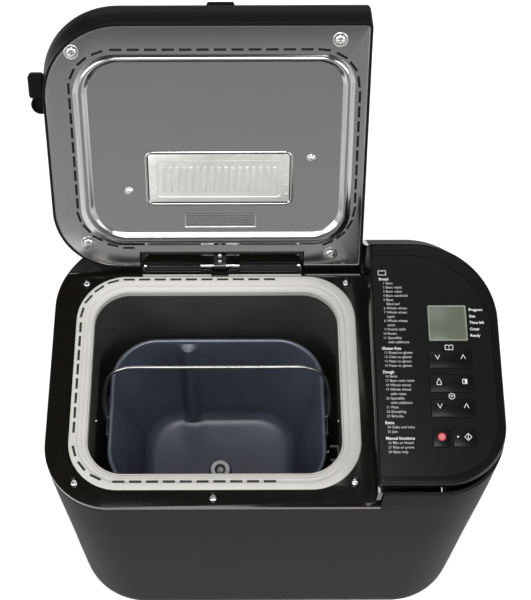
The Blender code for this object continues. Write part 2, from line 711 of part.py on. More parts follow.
def make_blade(pan_axis):
    axis = empty("blade_axis", (CHAMBER_X, PAN_Y, 0.0))
    blade = turned("kneading_blade", (CHAMBER_X, PAN_Y, 0.0), [
        (0.0060, 0.0625), (0.0105, 0.0620), (0.0118, 0.0605), (0.0120, 0.0562),
        (0.0043, 0.0562), (0.0043, 0.0625), (0.0060, 0.0625),
    ], COATING, 24)
    outline = [
        (-0.0105, 0.0565), (-0.047, 0.0565), (-0.050, 0.062),
        (-0.046, 0.078), (-0.026, 0.080), (-0.0105, 0.0605),
    ]
    side = [(PAN_Y + y, z) for y, z in outline]
    join(blade, prism_x("blade_wing", side, CHAMBER_X - 0.0015, CHAMBER_X + 0.0015, COATING))
    shaft = turned("blade_shaft", (CHAMBER_X, PAN_Y, 0.0), [
        (0.0, 0.0620), (0.0034, 0.0620), (0.0040, 0.0612), (0.0040, 0.0494),
        (0.0095, 0.0492), (0.0095, 0.0455), (0.0, 0.0455),
    ], STEEL, 16)
    reach, half_width = 0.0150, 0.0025
    low = (CHAMBER_X - reach, PAN_Y - half_width, 0.0457)
    high = (CHAMBER_X + reach, PAN_Y + half_width, 0.0488)
    join(shaft, box("coupling_arms", low, high, STEEL))
    hang(axis, blade, shaft)
    hang(pan_axis, axis)


def make_drive():
    axis = empty("drive_axis", (CHAMBER_X, PAN_Y, 0.0))
    shaft = cylinder("drive_shaft", (CHAMBER_X, PAN_Y, 0.0270), 0.0040, 0.0310, STEEL, sides=20)
    coupling = turned("drive_coupling", (CHAMBER_X, PAN_Y, 0.0), [
        (0.0043, 0.0430), (0.0060, 0.0430), (0.0170, 0.0428), (0.0170, 0.0405),
        (0.0090, 0.0395), (0.0043, 0.0395), (0.0043, 0.0430),
    ], STEEL, 20)
    for i, side in enumerate((-1, 1)):
        low, high = sorted((PAN_Y + side * 0.0115, PAN_Y + side * 0.0155))
        corner, far_corner = (CHAMBER_X - 0.003, low, 0.0415), (CHAMBER_X + 0.003, high, 0.0490)
        join(coupling, box(f"prong_{i}", corner, far_corner, STEEL))
    pulley = turned("large_pulley", (CHAMBER_X, PAN_Y, 0.0), [
        (0.0043, 0.0260), (0.0110, 0.0260), (0.0110, 0.0190), (0.0420, 0.0190),
        (0.0440, 0.0230), (0.0495, 0.0230), (0.0495, 0.0220), (PULLEY_R, 0.0218),
        (PULLEY_R, 0.0142), (0.0495, 0.0140), (0.0495, 0.0130), (0.0440, 0.0130),
        (0.0420, 0.0165), (0.0043, 0.0165), (0.0043, 0.0260),
    ], FILM_BLACK, 40)
    hang(axis, shaft, coupling, pulley)
    motor_axis = empty("motor_axis", (MOTOR_X, MOTOR_Y, 0.0))
    small = turned("motor_pulley", (MOTOR_X, MOTOR_Y, 0.0), [
        (0.0, 0.0342), (0.0030, 0.0342), (0.0030, 0.0235), (0.0090, 0.0233), (0.0090, 0.0220),
        (MOTOR_PULLEY_R, 0.0218), (MOTOR_PULLEY_R, 0.0142), (0.0090, 0.0140), (0.0090, 0.0128), (0.0, 0.0128),
    ], STEEL, 20)
    hang(motor_axis, small)


# ---- lid, modelled closed ----
def lid_outline(inset, rear, flare=0.0):
    """The lid's outline, inset from its edges: square at the control tower, round at the left."""
    square = 0.003 - min(inset, 0.002)
    left, front = LID_LEFT - flare * LID_FLARE[0], LID_FRONT - flare * LID_FLARE[1]
    return rounded(
        left + inset, LID_RIGHT - inset, front + inset, rear - inset,
        (square, 0.060 - inset, 0.072 - inset, square), 8,
    )


def make_lid_shell():
    """Outer shell of the lid, as high as the control tower, with a rounded upper edge."""
    rings = []
    foot = LINER_Z - 0.0012
    for inset, drop, rear, flare in (
        (0.0, None, LID_REAR, 0.0),
        (0.0003, 0.030, 0.1140, 0.15),
        (0.0006, 0.010, 0.1090, 1.0),
        (0.0008, 0.0034, 0.1080, 1.0),
        (0.0018, 0.0010, 0.1070, 1.0),
        (0.0044, 0.0, 0.1070, 1.0),
    ):
        outline = lid_outline(inset, rear, flare)
        rings.append([(x, y, foot if drop is None else panel_height(y) - drop) for x, y in outline])
    shell = solidify(loft("lid_shell", rings, GLOSS_BLACK, False, True), 0.0022, -1)
    low, high = (NOTCH[0], NOTCH_Y, 0.28), (NOTCH[1], 0.15, LINER_Z + 0.0100)
    boolean(shell, box("cut_shell_notch", low, high, None))
    left, right, front, rear = FLAP
    boolean(shell, box("cut_hopper_mouth", (left, front + 0.002, 0.33), (right, rear - 0.002, 0.40), None))
    return shell


def make_liner():
    """Steel inner plate with its pressed ridge and its openings."""
    outline = rounded(
        LID_LEFT + 0.0028, LID_RIGHT - 0.0028, LID_FRONT + 0.0028, LID_REAR - 0.0028,
        (0.001, 0.057, 0.069, 0.001), 8,
    )
    liner = slab("lid_liner", outline, LINER_Z, LINER_Z + LINER_THICK, LINER_STEEL)
    ridge_x, ridge_y = -0.0516, -0.0040

    def loop(by, radius):
        return centred((0.1240 + by, 0.0906 + by), radius, ridge_x, ridge_y, 8)

    ridge = hoop("liner_ridge", (
        (loop(0.0055, 0.0405), LINER_Z + 0.0004),
        (loop(-0.0055, 0.0295), LINER_Z + 0.0004),
        (loop(-0.0030, 0.0320), LINER_Z - 0.0030),
        (loop(0.0030, 0.0380), LINER_Z - 0.0030),
    ), LINER_STEEL)
    join(liner, ridge)
    below, over = 0.28, 0.31
    left, right, front, rear = FLAP
    low, high = (left - 0.001, front - 0.001, below), (right + 0.001, rear + 0.001, over)
    boolean(liner, box("cut_liner_notch", (NOTCH[0], NOTCH_Y, below), (NOTCH[1], 0.15, over), None))
    boolean(liner, box("cut_liner_flap", low, high, None))
    boolean(liner, box("cut_liner_vent", (-0.0805, 0.0625, below), (-0.0125, 0.0760, over), None))
    return liner


def make_hopper():
    """Open tube of sheet aluminium from the flap up to the dispenser's cover."""
    left, right, front, rear = FLAP
    wall, room = 0.0030, 0.0015
    hopper = prism_x("dispenser_hopper", [
        (front - wall, LINER_Z + 0.0014),
        (rear + wall, LINER_Z + 0.0014),
        (rear + wall, panel_height(rear) - 0.0030),
        (front - wall, panel_height(front) - 0.0036),
    ], left - wall, right + wall, ALUMINIUM)
    low, high = (left - room, front - room, 0.28), (right + room, rear + room, 0.40)
    boolean(hopper, box("cut_hopper", low, high, None))
    return hopper


def make_vent_grille():
    """Slotted plate over the steam outlet."""
    low, high = (-0.0815, 0.0615, LINER_Z + 0.0013), (-0.0115, 0.0770, LINER_Z + 0.0025)
    grille = box("vent_grille", low, high, STEEL)
    for i in range(VENT_SLOTS):
        x = -0.0780 + 0.00694 * i
        boolean(grille, box(f"cut_grille_{i}", (x - 0.0010, 0.0650, 0.29), (x + 0.0010, 0.0735, 0.31), None))
    return grille


def make_lid_hinge():
    """Cover in the lid's notch, the arm that turns on the pin, and the pin."""
    left, right, front = NOTCH[0] + GAP, NOTCH[1] - GAP, NOTCH_Y + GAP
    roof = LINER_Z + 0.0082
    cover = box("hinge_cover", (left, front, roof), (right, 0.1172, roof + 0.0015), GLOSS_BLACK)
    low, high = (left, front, LINER_Z), (right, NOTCH_Y + 0.0018, roof + 0.0008)
    join(cover, box("cover_front", low, high, GLOSS_BLACK))
    x = -0.0475
    low, high = (x - 0.006, 0.1062, LINER_Z - 0.0006), (x + 0.006, 0.1172, roof - GAP)
    arm = box("hinge_arm", low, high, GLOSS_BLACK)
    join(arm, cylinder("arm_knuckle", (x, HINGE_Y, HINGE_Z), 0.0033, 0.012, GLOSS_BLACK, "X", 16))
    boolean(arm, cylinder("cut_arm_bore", (x, HINGE_Y, HINGE_Z), PIN_BORE, 0.03, None, "X", 16))
    pin = cylinder("hinge_pin", (-0.0455, HINGE_Y, HINGE_Z), 0.0016, 0.150, STEEL, "X", 12)
    return [cover, arm, pin]


def make_side_grip():
    """Lug on the left edge of the lid, with a round collar beside it towards the hinge."""
    side = LID_LEFT - LID_FLARE[0] - GAP
    top = panel_height(-0.035) - 0.004
    middle = (side - 0.0035, -0.0330, top - 0.006)
    grip = box("side_grip", (-0.2220, -0.062, top - 0.012), (side, -0.038, top), BODY_GREY, 0.0025)
    join(grip, cylinder("grip_collar", middle, 0.0090, 0.012, BODY_GREY))
    boolean(grip, cylinder("cut_collar", middle, 0.0072, 0.03, None))
    boolean(grip, box("cut_grip_side", (side, -0.08, 0.28), (side + 0.03, 0.0, 0.38), None))
    return grip


def make_lid_screws():
    made = []
    for name, (x, y) in LID_SCREWS.items():
        profile = [
            (0.0, 0.0), (0.0060, 0.0), (0.0060, -0.0008),
            (0.0042, -0.0010), (0.0030, -0.0022), (0.0, -0.0024),
        ]
        made.append(turned(name, (x, y, LINER_Z - GAP), profile, CHROME, 20))
    return made


def make_flap():
    """Flap of the dispenser in the liner's opening, hinged along its rear edge."""
    left, right, front, rear = FLAP
    axis = empty("flap_axis", (CHAMBER_X, rear - 0.0012, LINER_Z + 0.0006))
    low, high = (left, front, LINER_Z - 0.0002), (right, rear - 0.0004, LINER_Z + 0.0010)
    flap = box("dispenser_flap", low, high, ALUMINIUM)
    for i in range(FLAP_RIBS):
        x = left + 0.0145 + 0.0127 * i
        rib = box(
            f"flap_rib_{i}", (x - 0.0014, front + 0.007, LINER_Z - 0.0012),
            (x + 0.0014, rear - 0.012, LINER_Z + 0.0004), ALUMINIUM,
        )
        join(flap, rib)
    hang(axis, flap)
    return axis


def make_dispenser_cover():
    """Outer cover of the dispenser on the lid's top, with the finger tab past the lid's front edge."""
    axis = empty("cover_axis", (CHAMBER_X, COVER_REAR, panel_height(COVER_REAR) + 0.0015))
    low, high = GAP, 0.0026
    front = -0.1185

    def plate(outline, name):
        rings = [[(x, y, panel_height(y) + w) for x, y in outline] for w in (low, high)]
        return loft(name, rings, GLOSS_BLACK)

    cover = plate(rounded(-0.126, 0.031, front, COVER_REAR, (0.006,) * 4, 4), "dispenser_cover")
    tab = plate([
        (-0.0592, front + 0.004), (-0.0592, -0.1245), (-0.0560, -0.1325),
        (-0.0330, -0.1325), (-0.0298, -0.1245), (-0.0298, front + 0.004),
    ], "cover_tab")
    join(cover, tab)
    hang(axis, cover)
    return axis


def make_lid():
    axis = empty("lid_axis", (0.0, HINGE_Y, HINGE_Z))
    before = set(CUTTERS.objects)
    pieces = [make_lid_shell(), make_liner(), make_side_grip(), make_flap(), make_dispenser_cover()]
    pieces += [make_hopper(), make_vent_grille()]
    pieces.append(box("dispenser_solenoid", (0.034, 0.010, 0.304), (0.062, 0.034, 0.322), MOTOR_GREY, 0.002))
    pieces += make_lid_hinge() + make_lid_screws()
    helpers = [o for o in CUTTERS.objects if o not in before and o.parent is None]
    hang(axis, *pieces, *helpers)
    axis.rotation_euler.x = -LID_OPEN


def main():
    make_base()
    make_body_shell()
    make_top_deck()
    make_deck_screws()
    make_chamber_ring()
    make_chamber()
    make_heater()
    make_rails()
    make_drive_frame()
    make_belt()
    make_inlet()
    make_hinge_plate()
    make_panel()
    pan_axis = make_pan()
    make_bail(pan_axis)
    make_blade(pan_axis)
    make_drive()
    make_lid()
    machine = empty("machine", ORIGIN)
    for obj in list(PARTS.objects) + list(CUTTERS.objects):
        if obj.parent is None and obj is not machine:
            obj.parent = machine


main()
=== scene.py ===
import json
import math

import bmesh
import bpy
from mathutils import Matrix, Vector


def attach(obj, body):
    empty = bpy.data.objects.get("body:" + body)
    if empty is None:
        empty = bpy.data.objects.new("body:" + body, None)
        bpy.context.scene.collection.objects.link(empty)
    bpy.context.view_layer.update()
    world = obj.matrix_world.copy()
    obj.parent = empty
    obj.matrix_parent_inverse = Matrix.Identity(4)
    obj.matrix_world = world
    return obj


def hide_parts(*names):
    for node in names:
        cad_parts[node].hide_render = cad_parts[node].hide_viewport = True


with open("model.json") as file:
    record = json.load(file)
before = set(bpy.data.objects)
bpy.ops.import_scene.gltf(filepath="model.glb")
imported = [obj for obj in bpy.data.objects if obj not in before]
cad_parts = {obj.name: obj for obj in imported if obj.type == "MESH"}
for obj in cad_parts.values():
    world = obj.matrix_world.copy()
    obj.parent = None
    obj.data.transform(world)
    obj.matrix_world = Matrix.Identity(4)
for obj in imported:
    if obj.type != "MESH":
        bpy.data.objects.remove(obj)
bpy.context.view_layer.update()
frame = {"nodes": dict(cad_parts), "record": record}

JOINTS = {j["name"]: j for j in frame["record"]["behaviour"]["joints"]}

# ---- the CAD's driving dimensions, in the machine's own coordinates (metres) ----
DECK_Z = 0.294
CHAMBER_X = -0.051
PAN_Y = -0.0035
HINGE_Y, HINGE_Z = 0.1176, DECK_Z + 0.0037
LID_OPEN = math.radians(121.1)
LINER_Z = DECK_Z + 0.005
LID_LEFT, LID_RIGHT, LID_FRONT, LID_REAR = -0.2046, 0.0893, -0.1244, 0.1204
LID_FLARE = (0.003, 0.0075)
NOTCH = (-0.1245, 0.0335)
NOTCH_Y = 0.1025
TOWER_X = 0.0907
TOWER_WALL = 0.0045
PANEL_TILT = math.radians(7)
PANEL_Z = DECK_Z + 0.0525
LEDGE_Y = 0.111
LEDGE_SLOPE = math.radians(30)
MOUTH = (0.1162, 0.0924)
MOUTH_RADIUS = 0.034
RING = (0.1317, 0.1071)
RING_RADIUS = 0.046
CHAMBER = (0.1190, 0.0950)
CHAMBER_RADIUS = 0.037
CHAMBER_FLOOR = 0.0405
PAN_RIM_Z = DECK_Z - 0.075
PAN_FLOOR_Z = 0.054
PAN_RIM = (0.1016, 0.0780)
PAN_BASE = (0.0800, 0.0655)
RIB_X = -0.081
BAIL_Z = PAN_RIM_Z - 0.008
BAIL_LEAN = math.radians(16.4)
BAIL_RADIUS = 0.0016
FLAP = (-0.1125, 0.0180, 0.0005, 0.0495)
VENT = (-0.0805, -0.0125, 0.0625, 0.0760)
LINER_INSET = 0.0028
SLOT_LENGTH, SLOT_WIDTH = 0.0108, 0.0022
DISPLAY = (0.1401, 0.1751, 0.0123, 0.0464)
FILM = (0.0922, 0.1963, -0.1103, 0.0950)
BEZEL = (0.0907, 0.2034, -0.1167, 0.1075)
BEZEL_DEEP = 0.012
BEZEL_DROP = BEZEL_DEEP / math.cos(PANEL_TILT) + 0.0006
KEYS = {
    "program_key": (0.1387, 0.1768, -0.0130, 0.0028),
    "loaf_key": (0.1387, 0.1768, -0.0352, -0.0194),
    "timer_key": (0.1387, 0.1768, -0.0577, -0.0419),
    "stop_key": (0.1387, 0.1535, -0.0842, -0.0683),
    "start_key": (0.1562, 0.1768, -0.0842, -0.0683),
}
DECK_SCREWS = (
    (-0.1754, 0.1006), (0.0735, 0.1006), (-0.1754, -0.1001), (0.0735, -0.1001), (-0.0521, -0.1144),
)
LID_SCREWS = ((-0.1758, -0.0983), (0.0608, -0.1089), (-0.1732, 0.0926), (0.0587, 0.1054))

# ---- frames the pieces are modelled in ----
HINGE = Vector((CHAMBER_X, HINGE_Y, HINGE_Z))
MACHINE = Matrix.Translation(Vector(JOINTS["lid_hinge"]["pos_m"]) - HINGE)
LID = MACHINE @ Matrix.Translation(HINGE) @ Matrix.Rotation(-LID_OPEN, 4, "X") @ Matrix.Translation(-HINGE)
PANEL = MACHINE @ Matrix.Translation((0.0, 0.0, PANEL_Z)) @ Matrix.Rotation(PANEL_TILT, 4, "X")
BAIL = MACHINE @ Matrix.Translation((CHAMBER_X, PAN_Y, BAIL_Z)) @ Matrix.Rotation(-BAIL_LEAN, 4, "X")


# ---- materials ----
NOISE_RANGE = (0.3, 0.7)
GRAIN_HEIGHT = 0.0004


def new_material(name):
    made = bpy.data.materials.new(name)
    made.use_nodes = True
    return made, made.node_tree, made.node_tree.nodes["Principled BSDF"]


def node(tree, kind, **values):
    """A shader node with the given inputs set; an underscore in a name stands for a space."""
    made = tree.nodes.new("ShaderNode" + kind)
    for name, value in values.items():
        made.inputs[name.replace("_", " ")].default_value = value
    return made


def noise(tree, scale, detail=3.0, stretch=None):
    """A noise texture in the object's own coordinates, stretched along an axis where asked."""
    source = tree.nodes.new("ShaderNodeTexCoord").outputs["Object"]
    made = node(tree, "TexNoise", Scale=scale, Detail=detail)
    if stretch:
        mapping = node(tree, "Mapping", Scale=stretch)
        tree.links.new(source, mapping.inputs["Vector"])
        source = mapping.outputs["Vector"]
    tree.links.new(source, made.inputs["Vector"])
    return made.outputs["Fac"]


def mapped(tree, source, low, high, to_low, to_high):
    """Maps a value from the range low to high onto another range."""
    made = node(tree, "MapRange", From_Min=low, From_Max=high, To_Min=to_low, To_Max=to_high)
    tree.links.new(source, made.inputs["Value"])
    return made.outputs["Result"]


def surface(name, dark, light, rough, metallic=0.0, coat=0.0, grain=1200.0, depth=0.02, tint=60.0,
            stretch=None, specular=0.5):
    """Two close colours in soft patches, a varied roughness and a fine grain as bump."""
    made, tree, shader = new_material(name)
    patches = noise(tree, tint, 4.0, stretch)
    ramp = tree.nodes.new("ShaderNodeValToRGB")
    for stop, position, colour in zip(ramp.color_ramp.elements, NOISE_RANGE, (dark, light)):
        stop.position = position
        stop.color = (*colour, 1.0)
    tree.links.new(patches, ramp.inputs["Fac"])
    tree.links.new(ramp.outputs["Color"], shader.inputs["Base Color"])
    wear = mapped(tree, noise(tree, tint * 2.3, 5.0, stretch), *NOISE_RANGE, *rough)
    tree.links.new(wear, shader.inputs["Roughness"])
    shader.inputs["Metallic"].default_value = metallic
    shader.inputs["Coat Weight"].default_value = coat
    shader.inputs["Coat Roughness"].default_value = 0.05
    shader.inputs["Specular IOR Level"].default_value = specular
    if depth:
        bump = node(tree, "Bump", Strength=depth, Distance=GRAIN_HEIGHT)
        tree.links.new(noise(tree, grain, 2.0, stretch), bump.inputs["Height"])
        tree.links.new(bump.outputs["Normal"], shader.inputs["Normal"])
    return made


BODY = surface(
    "body_grey_plastic", (0.0105, 0.0105, 0.0100), (0.0113, 0.0113, 0.0108), (0.46, 0.48), depth=0.10,
    grain=2400.0, specular=0.015
)
GLOSS = surface(
    "gloss_black_plastic", (0.0038, 0.0030, 0.0022), (0.0048, 0.0040, 0.0031), (0.10, 0.15), coat=0.08,
    depth=0.004, grain=90.0
)
FILM_BLACK = surface(
    "panel_film_black", (0.0046, 0.0046, 0.0046), (0.0052, 0.0052, 0.0052), (0.25, 0.26), depth=0.01,
    grain=3000.0, specular=0.12
)
KEY_BLACK = surface(
    "key_black", (0.0042, 0.0042, 0.0042), (0.0048, 0.0048, 0.0048), (0.24, 0.26), depth=0.01,
    grain=3000.0, specular=0.12
)
BEZEL_BLACK = surface(
    "panel_bezel_black", (0.0046, 0.0046, 0.0046), (0.0054, 0.0054, 0.0054), (0.18, 0.20), depth=0.006,
    grain=600.0, specular=0.10
)
RING_GREY = surface(
    "ring_pale_grey", (0.42, 0.41, 0.383), (0.455, 0.446, 0.415), (0.40, 0.46), depth=0.05, grain=1500.0,
    tint=24.0, specular=0.35
)
LINER_STEEL = surface(
    "liner_polished_steel", (0.425, 0.415, 0.42), (0.435, 0.425, 0.43), (0.165, 0.175), 1.0, depth=0.002,
    grain=600.0, tint=18.0
)
BRIGHT_STEEL = surface(
    "bright_steel", (0.62, 0.62, 0.61), (0.72, 0.71, 0.70), (0.16, 0.24), 1.0, depth=0.02, grain=800.0
)
DULL_STEEL = surface(
    "dull_steel", (0.36, 0.36, 0.35), (0.44, 0.44, 0.43), (0.30, 0.42), 1.0, depth=0.05, grain=900.0,
    stretch=(6.0, 1.0, 1.0)
)
CHROME = surface("chrome_plate", (0.52, 0.51, 0.50), (0.60, 0.59, 0.58), (0.20, 0.28), 1.0, depth=0.01)
CHAMBER_PAINT = surface(
    "chamber_dark_sheet", (0.062, 0.062, 0.056), (0.078, 0.077, 0.071), (0.34, 0.46), 0.35, depth=0.06,
    grain=1300.0, tint=30.0
)
ALUMINIUM = surface(
    "aluminium_satin", (0.72, 0.71, 0.68), (0.78, 0.77, 0.74), (0.30, 0.38), 0.75, depth=0.03,
    grain=1600.0
)
RUBBER = surface(
    "rubber_black", (0.018, 0.018, 0.018), (0.028, 0.028, 0.027), (0.65, 0.8), depth=0.2, grain=900.0
)
BOARD = surface("circuit_board_green", (0.02, 0.09, 0.03), (0.03, 0.13, 0.05), (0.35, 0.5), depth=0.1)
MOTOR = surface("motor_plated", (0.28, 0.27, 0.26), (0.36, 0.35, 0.34), (0.35, 0.5), 0.9, depth=0.06)
# flat black for the sheets put in slots, openings and the deck's seam: painted shade where those gaps fall
# dark
SHADE_BLACK = surface("painted_shade_black", (0.004, 0.004, 0.004), (0.007, 0.007, 0.007), (0.6, 0.8), depth=0.0)
PRINT = surface("print_grey", (0.34, 0.34, 0.34), (0.40, 0.40, 0.40), (0.5, 0.6), depth=0.0)
PRINT_BRIGHT = surface("print_white", (0.55, 0.55, 0.55), (0.62, 0.62, 0.62), (0.5, 0.6), depth=0.0)
PRINT_RED = surface("print_red", (0.36, 0.010, 0.022), (0.44, 0.014, 0.028), (0.45, 0.55), depth=0.0)
LCD = surface(
    "display_grey_green", (0.082, 0.094, 0.072), (0.096, 0.108, 0.084), (0.16, 0.22), depth=0.0, tint=30.0
)


def coating(name, dark, light, speck):
    """Non-stick coating: a dark coat with fine pale specks and a soft sheen."""
    made = surface(name, dark, light, (0.30, 0.40), depth=0.08, grain=1500.0, tint=40.0)
    tree = made.node_tree
    shader = tree.nodes["Principled BSDF"]
    base = shader.inputs["Base Color"].links[0].from_socket
    cells = node(tree, "TexVoronoi", Scale=620.0)
    tree.links.new(tree.nodes.new("ShaderNodeTexCoord").outputs["Object"], cells.inputs["Vector"])
    dots = mapped(tree, cells.outputs["Distance"], 0.16, 0.26, 0.55, 0.0)
    mix = tree.nodes.new("ShaderNodeMix")
    mix.data_type = "RGBA"
    tree.links.new(dots, mix.inputs["Factor"])
    tree.links.new(base, mix.inputs["A"])
    mix.inputs["B"].default_value = (*speck, 1.0)
    tree.links.new(mix.outputs["Result"], shader.inputs["Base Color"])
    return made


COATING = coating("pan_coating", (0.047, 0.053, 0.074), (0.058, 0.065, 0.090), (0.15, 0.17, 0.22))
COATING_PLAIN = surface(
    "pan_outer_coating", (0.020, 0.021, 0.024), (0.028, 0.030, 0.034), (0.3, 0.4), depth=0.05
)

PAN_EDGE = surface("pan_rim_edge", (0.10, 0.11, 0.135), (0.13, 0.14, 0.17), (0.28, 0.36), 0.6, depth=0.03)
GLOSS_SOFT = surface(
    "lid_outer_black", (0.0070, 0.0069, 0.0064), (0.0080, 0.0078, 0.0073), (0.30, 0.33), depth=0.01,
    grain=1200.0, specular=0.012
)
LCD_EDGE = surface("display_border_pale", (0.16, 0.18, 0.14), (0.18, 0.20, 0.16), (0.2, 0.3), depth=0.0)


# ---- mesh helpers ----
def linked(name, data):
    """A new object in the scene."""
    obj = bpy.data.objects.new(name, data)
    bpy.context.scene.collection.objects.link(obj)
    return obj


def from_bmesh(name, bm, closed=True):
    if closed:
        bmesh.ops.recalc_face_normals(bm, faces=bm.faces)
    mesh = bpy.data.meshes.new(name)
    bm.to_mesh(mesh)
    bm.free()
    return linked(name, mesh)


def evaluated(obj):
    return bpy.data.meshes.new_from_object(obj.evaluated_get(bpy.context.evaluated_depsgraph_get()))


def applied(obj):
    """Replaces the mesh by its evaluated one and drops the modifiers."""
    mesh = evaluated(obj)
    obj.modifiers.clear()
    obj.data = mesh
    return obj


def meshed(curve):
    """The mesh object that a curve or text makes."""
    obj = linked(curve.name, curve)
    mesh = evaluated(obj)
    bpy.data.objects.remove(obj, do_unlink=True)
    return linked("meshed", mesh)


def boolean(obj, other, operation="DIFFERENCE", solver="EXACT"):
    step = obj.modifiers.new("boolean", "BOOLEAN")
    step.operation = operation
    step.solver = solver
    step.object = other
    applied(obj)
    bpy.data.objects.remove(other, do_unlink=True)
    return obj


def join(obj, other):
    return boolean(obj, other, "UNION")


def merged(obj, *others):
    """Puts the other objects' faces into obj, without a Boolean."""
    bm = bmesh.new()
    for one in (obj, *others):
        bm.from_mesh(one.data)
    bm.to_mesh(obj.data)
    bm.free()
    for one in others:
        bpy.data.objects.remove(one, do_unlink=True)
    return obj


def bevelled(obj, width, segments=3, angle=35):
    step = obj.modifiers.new("edges", "BEVEL")
    step.width = width
    step.segments = segments
    step.limit_method = "ANGLE"
    step.angle_limit = math.radians(angle)
    step.harden_normals = False
    step.use_clamp_overlap = True
    return applied(obj)


def solid(obj, thickness, offset):
    step = obj.modifiers.new("wall", "SOLIDIFY")
    step.thickness = thickness
    step.offset = offset
    step.use_even_offset = True
    return applied(obj)


def box(low, high, bevel=0.0, segments=2):
    low, high = Vector(low), Vector(high)
    bm = bmesh.new()
    place = Matrix.Translation((low + high) / 2) @ Matrix.Diagonal((*(high - low), 1.0))
    bmesh.ops.create_cube(bm, size=1.0, matrix=place)
    obj = from_bmesh("box", bm)
    return bevelled(obj, bevel, segments) if bevel else obj


def cylinder(centre, radius, length, axis="Z", sides=32):
    turn = {
        "Z": Matrix(),
        "X": Matrix.Rotation(math.pi / 2, 4, "Y"),
        "Y": Matrix.Rotation(-math.pi / 2, 4, "X"),
    }
    bm = bmesh.new()
    bmesh.ops.create_cone(
        bm, cap_ends=True, segments=sides, radius1=radius, radius2=radius, depth=length,
        matrix=Matrix.Translation(centre) @ turn[axis],
    )
    return from_bmesh("cylinder", bm)


def turned(centre, profile, steps=48):
    """A shape of revolution about a vertical axis, from (radius, height) points."""
    hollow = profile[0] == profile[-1]
    points = profile[:-1] if hollow else profile
    bm = bmesh.new()
    rows = []
    for r, z in points:
        if r < 1e-7:
            rows.append([bm.verts.new((centre[0], centre[1], centre[2] + z))] * steps)
            continue
        circle = []
        for i in range(steps):
            angle = math.tau * i / steps
            x, y = centre[0] + r * math.cos(angle), centre[1] + r * math.sin(angle)
            circle.append(bm.verts.new((x, y, centre[2] + z)))
        rows.append(circle)
    pairs = list(zip(rows, rows[1:])) + ([(rows[-1], rows[0])] if hollow else [])
    for a, b in pairs:
        for i in range(steps):
            j = (i + 1) % steps
            corners = []
            for v in (a[i], a[j], b[j], b[i]):
                if v not in corners:
                    corners.append(v)
            if len(corners) > 2:
                bm.faces.new(corners)
    return from_bmesh("turned", bm)


def rounded(x0, x1, y0, y1, radii, steps=16):
    """A rectangle's outline with round corners: rear right, rear left, front left, front right."""
    corners = ((x1, y1, -1, -1, 0), (x0, y1, 1, -1, 90), (x0, y0, 1, 1, 180), (x1, y0, -1, 1, 270))
    points = []
    for (x, y, sx, sy, start), radius in zip(corners, radii):
        for i in range(steps + 1):
            angle = math.radians(start + 90 * i / steps)
            points.append((
                x + sx * radius + radius * math.cos(angle), y + sy * radius + radius * math.sin(angle),
            ))
    return points


def centred(half, radius, steps=16):
    """A round-cornered outline about the chamber's middle."""
    return rounded(CHAMBER_X - half[0], CHAMBER_X + half[0], -half[1], half[1], (radius,) * 4, steps)


def grown(half, by):
    return (half[0] + by, half[1] + by)


def loft(rings, bottom=True, top=True):
    bm = bmesh.new()
    rows = [[bm.verts.new(p) for p in ring] for ring in rings]
    for low, high in zip(rows, rows[1:]):
        for i in range(len(low)):
            j = (i + 1) % len(low)
            bm.faces.new((low[i], low[j], high[j], high[i]))
    if bottom:
        bm.faces.new(rows[0][::-1])
    if top:
        bm.faces.new(rows[-1])
    return from_bmesh("loft", bm, bottom and top)


def slab(outline, z0, z1):
    return loft([[(x, y, z) for x, y in outline] for z in (z0, z1)])


def hoop(sections):
    bm = bmesh.new()
    rows = [[bm.verts.new((x, y, z)) for x, y in outline] for outline, z in sections]
    for k, here in enumerate(rows):
        after = rows[(k + 1) % len(rows)]
        for i in range(len(here)):
            j = (i + 1) % len(here)
            bm.faces.new((here[i], here[j], after[j], after[i]))
    return from_bmesh("hoop", bm)


def prism_x(polygon, x0, x1):
    return loft([[(x, y, z) for y, z in polygon] for x in (x0, x1)])


def arc(centre, radius, start, end, steps):
    """Points along an arc, its angles in degrees."""
    points = []
    for i in range(steps + 1):
        angle = math.radians(start + (end - start) * i / steps)
        points.append((centre[0] + radius * math.cos(angle), centre[1] + radius * math.sin(angle)))
    return points


def smooth_path(points, per=6):
    """A Catmull-Rom curve through the points."""
    pts = [Vector(p) for p in points]
    pts = [2 * pts[0] - pts[1]] + pts + [2 * pts[-1] - pts[-2]]
    out = []
    for a, b, c, d in zip(pts, pts[1:], pts[2:], pts[3:]):
        square = 2 * a - 5 * b + 4 * c - d
        cubic = 3 * b - a - 3 * c + d
        for i in range(per):
            t = i / per
            out.append(0.5 * ((2 * b) + (c - a) * t + square * t ** 2 + cubic * t ** 3))
    out.append(pts[-2])
    return out


def wire(points, radius, resolution):
    """A round wire as a mesh."""
    curve = bpy.data.curves.new("wire", "CURVE")
    curve.dimensions = "3D"
    curve.bevel_depth = radius
    curve.bevel_resolution = resolution
    curve.use_fill_caps = True
    line = curve.splines.new("POLY")
    line.points.add(len(points) - 1)
    for point, place in zip(line.points, points):
        point.co = (*place, 1.0)
    return meshed(curve)


def place(obj, name, body, look, where=MACHINE, replaces=(), sharp=32):
    obj.name = name
    obj.data.name = name
    obj.data.transform(where)
    obj.data.materials.clear()
    obj.data.materials.append(look)
    obj.data.shade_smooth()
    obj.data.set_sharp_from_angle(angle=math.radians(sharp))
    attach(obj, body)
    if replaces:
        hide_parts(*replaces)
    return obj


def dress(look, *names, bevel=0.0):
    """Gives CAD nodes a material, and soft edges where asked."""
    for name in names:
        node = frame["nodes"][name]
        node.data.materials.clear()
        node.data.materials.append(look)
        if bevel:
            weld = node.modifiers.new("weld", "WELD")
            weld.merge_threshold = 0.00005
            step = node.modifiers.new("edges", "BEVEL")
            step.width = bevel
            step.segments = 3
            step.limit_method = "ANGLE"
            step.angle_limit = math.radians(35)


def panel_height(y):
    return PANEL_Z + y * math.tan(PANEL_TILT)


